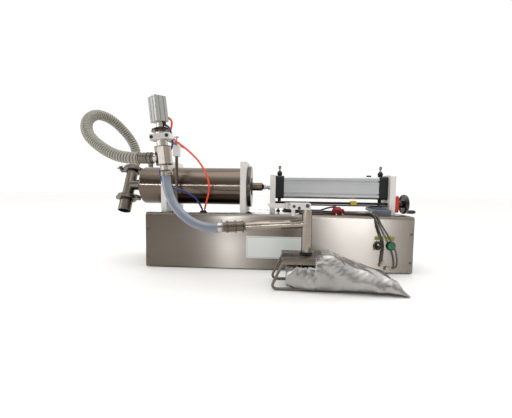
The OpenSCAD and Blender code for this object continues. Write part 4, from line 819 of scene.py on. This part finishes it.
def screw_tree():
    """Socket screws on points that carry an axis and a size."""
    tree, given = new_tree("socket_screws", (
        ("Head radius", "Float", 0.8125), ("Head height", "Float", 1.0), ("Socket radius", "Float", 0.45),
        ("Socket depth", "Float", 0.5), ("Socket sides", "Int", 6), ("Finish", "Material", None)))

    def pillar(sides, radius, depth, shift):
        """A cylinder moved along its axis."""
        made = add(tree, "GeometryNodeMeshCylinder", {"Vertices": sides, "Radius": radius, "Depth": depth})
        move = add(tree, "ShaderNodeCombineXYZ", {"Z": shift}).outputs[0]
        inputs = {"Geometry": made.outputs["Mesh"], "Translation": move}
        return add(tree, "GeometryNodeTransform", inputs).outputs[0]

    high = given["Head height"]
    head = pillar(32, given["Head radius"], high, number(tree, "MULTIPLY", high, -0.5))
    deep = number(tree, "MULTIPLY", given["Socket depth"], 2.0)
    top = number(tree, "MULTIPLY", high, -1.0)
    pocket = pillar(given["Socket sides"], given["Socket radius"], deep, top)
    cut = add(tree, "GeometryNodeMeshBoolean", {"Mesh 1": head}, operation="DIFFERENCE")
    tree.links.new(pocket, cut.inputs["Mesh 2"])
    whole = add(tree, "GeometryNodeJoinGeometry")
    tree.links.new(cut.outputs[0], whole.inputs[0])
    tree.links.new(pillar(20, 0.49, 1.0, 0.5), whole.inputs[0])
    spots = add(tree, "GeometryNodeMeshToPoints", {"Mesh": given["Mesh"]}).outputs[0]
    axis = read_mark(tree, "axis", "FLOAT_VECTOR")
    lean = add(tree, "FunctionNodeAlignRotationToVector", {"Vector": axis}, axis="Z").outputs[0]
    copies = add(tree, "GeometryNodeInstanceOnPoints", {
        "Points": spots, "Instance": whole.outputs[0], "Rotation": lean, "Scale": read_mark(tree, "size")})
    return end_tree(tree, copies.outputs[0], given["Finish"])


# Screws
def points_mesh(name, places):
    """Points with an axis and a size each: (place in mm, axis, size in mm)."""
    mesh = bpy.data.meshes.new(name)
    mesh.from_pydata([mm(*place) for place, _, _ in places], [], [])
    mesh.attributes.new("axis", "FLOAT_VECTOR", "POINT")
    mesh.attributes.new("size", "FLOAT", "POINT")
    for i, (_, way, size) in enumerate(places):
        mesh.attributes["axis"].data[i].vector = way
        mesh.attributes["size"].data[i].value = size * MM
    return mesh


def machine_bolts():
    """The places of the socket screws, each with its axis and thread."""
    ends = (-1, 1)
    feet = ((-366, 60), (-109, 60), (-14, 35), (371, 35))
    bolts = [((x, s * y, 173), (0, 0, 1), 8) for x, y in feet for s in ends]
    bolts += [((x, a * 28.25, AXIS_Z + b * 28.25), (w, 0, 0), 8)
              for x, w in ((-14, 1), (371, -1)) for a in ends for b in ends]
    bolts += [(on_nozzle(s * 21.2, -13.5, 0), (0, 1, 0), 6) for s in ends]
    head = ((9, 8, 5), (22, 4, 5), (43, 10, 6))
    return bolts + [((32.5 + x, -281 + size, 202.5 + z), (0, 1, 0), size) for x, z, size in head]


def screws(name, tree, places, sizes, edge, *nodes):
    """Screws of one kind at their places, their heads eased."""
    made = grow(name, tree, points_mesh(name + "_places", places), {**sizes, "Finish": dark_screw}, *nodes)
    sharpen(made.data, 35)
    ease(made, edge, 40)


SHEET_SCREW = {
    "Head radius": 0.9, "Head height": 0.45, "Socket radius": 0.42, "Socket depth": 0.25, "Socket sides": 4}
sheet_places = [
    ((x, y, z), (0, -y / 118, 0), 4) for x in (-408, 408) for y in (-118, 118) for z in (34, 122)]
screw_kind = screw_tree()
screws("socket_screws", screw_kind, machine_bolts(), {}, 0.25, "machine_screws")
screws("panel_screws", screw_kind, sheet_places, SHEET_SCREW, 0.35)


# Spiral suction hose, from the upper clamp round to the nozzle's side inlet
SPIRAL = [
    (-523, 45, 342), (-523, 52, 362), (-526, 57, 385), (-535, 56, 412), (-548, 47, 438), (-562, 28, 461),
    (-574, 4, 479), (-586, -26, 490), (-597, -60, 491), (-602, -90, 478), (-601, -113, 459),
    (-592, -134, 437), (-576, -152, 414), (-554, -168, 394), (-526, -182, 375), (-491, -197, 356),
    (-455, -208, 342), (-420, -214, 336), (-400, -215, 335), (-393, -215, 335), (-388, -215, 335)]


def suction_hose():
    up_tee = Vector((0, math.sin(TILT), math.cos(TILT)))
    foot = Vector((-522.8, 0, AXIS_Z)) + 72 * up_tee
    path = smooth_path([foot, foot + 3 * up_tee] + SPIRAL, 4)
    line = bpy.data.meshes.new("spiral_line")
    line.from_pydata(path, [(i, i + 1) for i in range(len(path) - 1)], [])
    sizes = {"Radius": 0.0163, "Pitch": 0.0085, "Rib height": 0.0008, "Finish": ribbed_pvc}
    grow("ribbed_hose", hose_tree(), line, sizes, "spiral_hose").data.shade_smooth()


suction_hose()


# Clear filling hose, from the nozzle's neck down to the feed union
def filling_hose():
    start = on_nozzle(0, 0, -26.5 - 49.5 - 16)
    down = Vector((math.sin(LEAN), 0, -math.cos(LEAN)))
    slope = math.radians(3.6)
    end = Vector((-141, -258, 150.9))
    along = Vector((math.cos(slope), 0, math.sin(slope)))
    middle = [(-307, -222, 258), (-295, -231, 229), (-278, -241, 203), (-254, -250, 180), (-224, -256, 161),
              (-190, -258, 150)]
    path = [start, start + 4 * down, start + 18 * down] + middle + [end - 20 * along, end - 4 * along, end]
    hose = tube("filling_hose", smooth_path(path, 3), 0.0125, 36)
    dress(hose, clear_pvc, "machine", "fill_hose")


filling_hose()


# Air tubes of the nozzle's actuator and of the drive
def air_tube(name, points, finish, node, every=3):
    """A 6 mm tube through points in mm."""
    dress(tube(name, smooth_path(points, every), 0.003, 14), finish, "machine", node)


ORANGE = [
    (-308.8, -181, 446), (-309.6, -174, 437.5), (-313.5, -169.5, 427), (-316.5, -167, 416),
    (-316.5, -165.8, 407), (-311, -164, 399), (-298, -161, 388), (-280, -150, 374), (-258, -140, 354),
    (-240, -127, 332), (-226, -110, 304), (-219, -98, 279), (-218, -89, 252), (-223, -83, 228),
    (-230, -79, 204), (-234.5, -78, 186), (-234.5, -78, 181)]
NAVY = [
    (-314, -194, 426.6), (-312, -188, 422.5), (-309.4, -186.5, 415), (-306, -186.5, 403), (-304, -186, 388),
    (-306, -184, 372), (-317, -181, 350), (-333, -181, 322), (-344, -179, 298), (-341, -162, 270),
    (-322, -138, 254), (-288, -112, 240), (-260, -94, 220), (-243.5, -78, 186), (-243.5, -78, 181)]


def nozzle_air_tubes():
    turn = math.radians(38)
    out = Vector((math.sin(turn) * math.cos(LEAN), math.cos(turn), math.sin(turn) * math.sin(LEAN)))
    upper = on_nozzle(0, 0, 55) + (18.5 + 11) * out
    lower = on_nozzle(13.8, 14, 32.5)
    air_tube("orange_air_tube", [upper, upper + 4 * out] + ORANGE, orange_tube, "nozzle_air_tubes")
    air_tube("navy_air_tube", [lower, lower + Vector((0, 3, 0))] + NAVY, navy_tube, "nozzle_air_tubes")


def drive_air_tubes():
    for k, (port_x, grommet_x) in enumerate(((9, 6), (348, 344)), 1):
        port, grommet = Vector((port_x, 0, AXIS_Z - 48)), Vector((grommet_x, 14, 181))
        points = [port, port - Vector((0, 0, 4)), 0.7 * port + 0.3 * grommet - Vector((0, 0, 1)),
                  0.3 * port + 0.7 * grommet + Vector((0, 0, 1)), grommet + Vector((0, 0, 4)), grommet]
        air_tube(f"drive_air_tube_{k}", points, orange_tube, "drive_air_tubes", 2)


nozzle_air_tubes()
drive_air_tubes()


# Bag rack: two bent wires under a folded plate
def bent(points, radius):
    """Points in mm with the corners rounded to radius, in metres."""
    p = [Vector(q) for q in points]
    out = [p[0]]
    for i in range(1, len(p) - 1):
        u, v = (p[i - 1] - p[i]).normalized(), (p[i + 1] - p[i]).normalized()
        wanted = radius / math.tan(u.angle(v) / 2)
        back = min(wanted, 0.48 * (p[i - 1] - p[i]).length, 0.48 * (p[i + 1] - p[i]).length)
        before, after = p[i] + u * back, p[i] + v * back
        for t in (k / 8 for k in range(9)):
            out.append((1 - t) ** 2 * before + 2 * t * (1 - t) * p[i] + t * t * after)
    out.append(p[-1])
    return [q * MM for q in out]


def bored(piece, place, radius, depth):
    """The piece with an upright hole, as a new plain mesh under its name."""
    drill = bpy.data.meshes.new("hole")
    bm = bmesh.new()
    bmesh.ops.create_cone(bm, cap_ends=True, segments=48, radius1=radius, radius2=radius, depth=depth,
                          matrix=Matrix.Translation(place))
    bm.to_mesh(drill)
    bm.free()
    cutter = link_object("hole", drill)
    hole = piece.modifiers.new("hole", "BOOLEAN")
    hole.object = cutter
    hole.operation = "DIFFERENCE"
    graph = bpy.context.evaluated_depsgraph_get()
    mesh = bpy.data.meshes.new_from_object(piece.evaluated_get(graph))
    name = piece.name
    bpy.data.objects.remove(piece)
    bpy.data.objects.remove(cutter)
    return link_object(name, mesh)


def rack_wires():
    side = ((26, 79.2), (20, 79.2), (-15, 3.8), (169, 3.8), (134, 79.2), (128, 79.2))
    for k, y in enumerate((-302.5, -213.5), 1):
        corners = [(x, y, z) for x, z in side]
        dress(tube(f"rack_wire_{k}", bent(corners, 12), 0.0035, 20), rack_steel, "machine", "bag_rack")


def rack_plate():
    """A tray section bent from sheet, run along X, with a hole for the spout."""
    outer = [(-307.3, 67), (-307.3, 81.5), (-306.6, 83.2), (-304.8, 84), (-211.2, 84), (-209.4, 83.2),
             (-208.7, 81.5), (-208.7, 67)]
    inner = [(-305.5, 67), (-305.5, 80.8), (-304.5, 82), (-211.5, 82), (-210.5, 80.8), (-210.5, 67)]
    outline = outer + inner[::-1]
    verts = [mm(x, y, z) for x in (14, 140) for y, z in outline]
    faces = wall_faces(2, len(outline)) + end_faces(2, len(outline))
    plate = bored(solid("rack_plate", verts, faces, 35), mm(77, -258, 84), 0.0135, 0.02)
    sharpen(plate.data, 35)
    ease(plate, 0.3, 50, harden=False)
    dress(plate, rack_steel, "machine", "bag_rack")


rack_wires()
rack_plate()


# Foil bag: stations along X, each with its front and rear, low and high edge, and how square it is
BAG = [
    (23.5, -301, -268, 12, 58, 0.7), (44, -309, -236, 3, 65, 0.45), (77, -315, -226, 1.2, 66, 0.4),
    (93, -317.5, -220, 1.2, 66, 0.4), (97, -318.5, -217, 1.2, 85.2, 0.5), (103, -320, -216, 1.2, 88, 0.45),
    (114, -321.5, -215.5, 1.2, 91, 0.4), (139, -322.5, -215.5, 1.2, 92, 0.4),
    (150, -323.5, -214.5, 1.2, 87, 0.45), (166, -324.5, -213.5, 1.2, 79, 0.6),
    (200, -326.5, -211.5, 1.2, 67, 0.7), (240, -328.5, -209.5, 1.2, 56, 0.7),
    (275, -329.5, -208.5, 1.2, 44, 0.7), (298, -329.5, -209.5, 1.2, 29, 0.7),
    (309, -329.5, -248, 1.2, 14, 0.7), (317.5, -329, -300, 1.2, 6, 0.7)]
# long folds to the lower right and short ones across them: direction, wave and height in mm
FOLDS = (((0.45, 0.55, 0.7), 62, 4.4), ((0.75, -0.35, 0.55), 43, 2.6), ((0.2, 0.9, -0.4), 21, 1.0),
         ((-0.6, 0.5, 0.65), 13, 0.5))


def bag_section(x):
    """The bag's section at x, between its stations."""
    i = next((i for i in range(len(BAG) - 1) if x <= BAG[i + 1][0]), len(BAG) - 2)
    b, c = BAG[i], BAG[i + 1]
    t = min(max((x - b[0]) / (c[0] - b[0]), 0), 1)
    return [b[k] + (c[k] - b[k]) * t for k in range(1, 6)]


def fold(s):
    """A sharp fold for every whole step of s, 0 to 1."""
    return abs(2 * (s - math.floor(s)) - 1)


def crease(p):
    """Height of the crumples at a point in mm."""
    slow = p * 0.014
    shifts = (Vector((0, 0, 0)), Vector((7, 3, 1)), Vector((1, 9, 4)))
    q = p + Vector([noise.noise(slow + shift) for shift in shifts]) * 18
    total = 0
    for (dx, dy, dz), wave, high in FOLDS:
        waver = noise.noise(p * 0.012 + Vector((wave, 0, 0))) * 0.8
        total += high * fold((q.x * dx + q.y * dy + q.z * dz) / wave + waver)
    # folds that fan out from the filling spout
    away = math.hypot(p.x - 60, p.y + 262)
    fan = math.atan2(p.z - 78 + 0.3 * (p.y + 262), p.x - 60) * 2.6 + noise.noise(p * 0.02) * 0.8
    total += 3.2 * fold(fan) * min(away / 40, 1) * max(1 - away / 170, 0)
    return total - 4.2


def bag_point(x, section, angle):
    """A point of the film in mm, creased, and clear of the floor, the plate and the cabinet."""
    y0, y1, z0, z1, e = section
    cy, sz = math.cos(angle), math.sin(angle)
    y = (y0 + y1) / 2 + (y1 - y0) / 2 * math.copysign(abs(cy) ** e, cy)
    z = z0 + (z1 - z0) * (0.28 * (1 + sz) if sz < 0 else 0.28 + 0.72 * sz ** (e + 0.1))
    p = Vector((x, y, z))
    if z > 2.5:
        on_plate = 90 < x < 150 and z > 80 and -307 < y < -209
        share = (0.45 if on_plate else 1.0) * min((z - 2.5) / 12, 1)
        p += Vector((0, cy, max(sz, -0.2))).normalized() * crease(p) * share
    p.z = max(p.z, 0.4)
    if 95 < x < 140.3 and -307.3 < p.y < -208.7 and sz > 0.2:
        p.z = max(p.z, 84.4)
    p.y = min(max(p.y, -331), -208)
    return p


def bag_film():
    sides, steps = 150, 330
    first, last = BAG[0][0], BAG[-1][0]
    angles = [2 * math.pi * (k + 0.5) / sides for k in range(sides)]
    verts = []
    for i in range(steps + 1):
        x = first + (last - first) * i / steps
        section = bag_section(x)
        verts += [bag_point(x, section, angle) * MM for angle in angles]
    film = solid("foil_bag_film", verts, wall_faces(steps + 1, sides) + end_faces(steps + 1, sides), 24)
    dress(film, foil, "machine", "foil_bag")


bag_film()


# Plates, control rings and pedal pads
def slab(name, size, place, edge, finish, turn=None, segments=3):
    """A plate with rounded edges; size and place in mm, turn a matrix about its middle."""
    bm = bmesh.new()
    bmesh.ops.create_cube(bm, size=1)
    bmesh.ops.scale(bm, vec=Vector(size) * MM, verts=bm.verts)
    edges = list(bm.edges)
    bmesh.ops.bevel(bm, geom=edges, offset=edge * MM, segments=segments, profile=0.6, affect="EDGES")
    if turn is not None:
        bmesh.ops.transform(bm, matrix=turn.to_4x4(), verts=bm.verts)
    bmesh.ops.translate(bm, vec=mm(*place), verts=bm.verts)
    mesh = bpy.data.meshes.new(name)
    bm.to_mesh(mesh)
    bm.free()
    sharpen(mesh, 40)
    made = link_object(name, mesh)
    wear(finish, made)
    return made


def label_plates():
    """The bare name plate with its printed border line, and the two bare labels."""
    plates = [slab("bare_name_plate", (182, 1.0, 69), (-3, -118.5, 71.5), 0.3, bare_plate)]
    flat, upright = (176, 0.2, 0.7), (0.7, 0.2, 63)
    border = ((flat, -3, 103), (flat, -3, 40), (upright, -91, 71.5), (upright, 85, 71.5))
    for k, (size, x, z) in enumerate(border, 1):
        plates.append(slab(f"plate_border_{k}", size, (x, -119.05, z), 0.15, dark_screw, segments=1))
    for k, x in enumerate((312, 344), 1):
        plates.append(slab(f"bare_label_{k}", (27, 0.6, 11), (x, -118.3, 108.5), 0.2, lime_plate))
    for plate in plates:
        carry(plate, "machine", "label_plates")


def control_ring(name, x, thick, finish):
    """A round ring proud of the front sheet, round a control at x."""
    turns = [2 * math.pi * k / 64 for k in range(65)]
    path = [mm(x + 12.6 * math.cos(a), -122.2, 86 + 12.6 * math.sin(a)) for a in turns]
    dress(tube(name, path, thick * MM, 12, closed_ends=False), finish, "machine")


def selector_mark():
    turn = Matrix.Rotation(math.radians(-38), 3, "Y")
    carry(slab("selector_mark", (2.4, 0.6, 11), (306.6, -132.2, 89.2), 0.2, white_mark, turn), "selector")


def pedal_pads():
    """A raised panel and the rubber pad on the treadle, and its hinge screw."""
    tread = Matrix.Rotation(math.atan2(6, 67), 3, "X")
    for k, (inset, high, finish) in enumerate(((5, 1.6, slate_paint), (10, 3.4, pedal_rubber)), 1):
        size = (56 - 2 * inset, 62 - 2 * inset + 6, high)
        carry(slab(f"pedal_pad_{k}", size, (325, -61, 195.6 + high / 2), 0.7, finish, tread), "treadle")
    path = [mm(x, -90, 184.5) for x in (296.9, 295.8, 295.3)]
    screw = tube("pedal_screw", path, lambda run: 0.0028 if run < 0.0012 else 0.0016, 20)
    dress(screw, ground_rod, "treadle")


label_plates()
control_ring("button_ring", 347, 1.1, black_plastic)
control_ring("selector_ring", 309, 0.9, nickel)
selector_mark()
pedal_pads()


# Floor: a pale plain sheet, matt
def floor_sheet():
    bm = bmesh.new()
    bmesh.ops.create_grid(bm, x_segments=1, y_segments=1, size=9)
    mesh = bpy.data.meshes.new("floor")
    bm.to_mesh(mesh)
    bm.free()
    mesh.transform(Matrix.Translation((0, 3, -0.0002)))
    floor = link_object("floor", mesh)
    wear(surface("pale_floor", "#f7f6f4", "#f5f4f2", rough=0.6, grain=2, blotch=900, tint=0.5), floor)


floor_sheet()
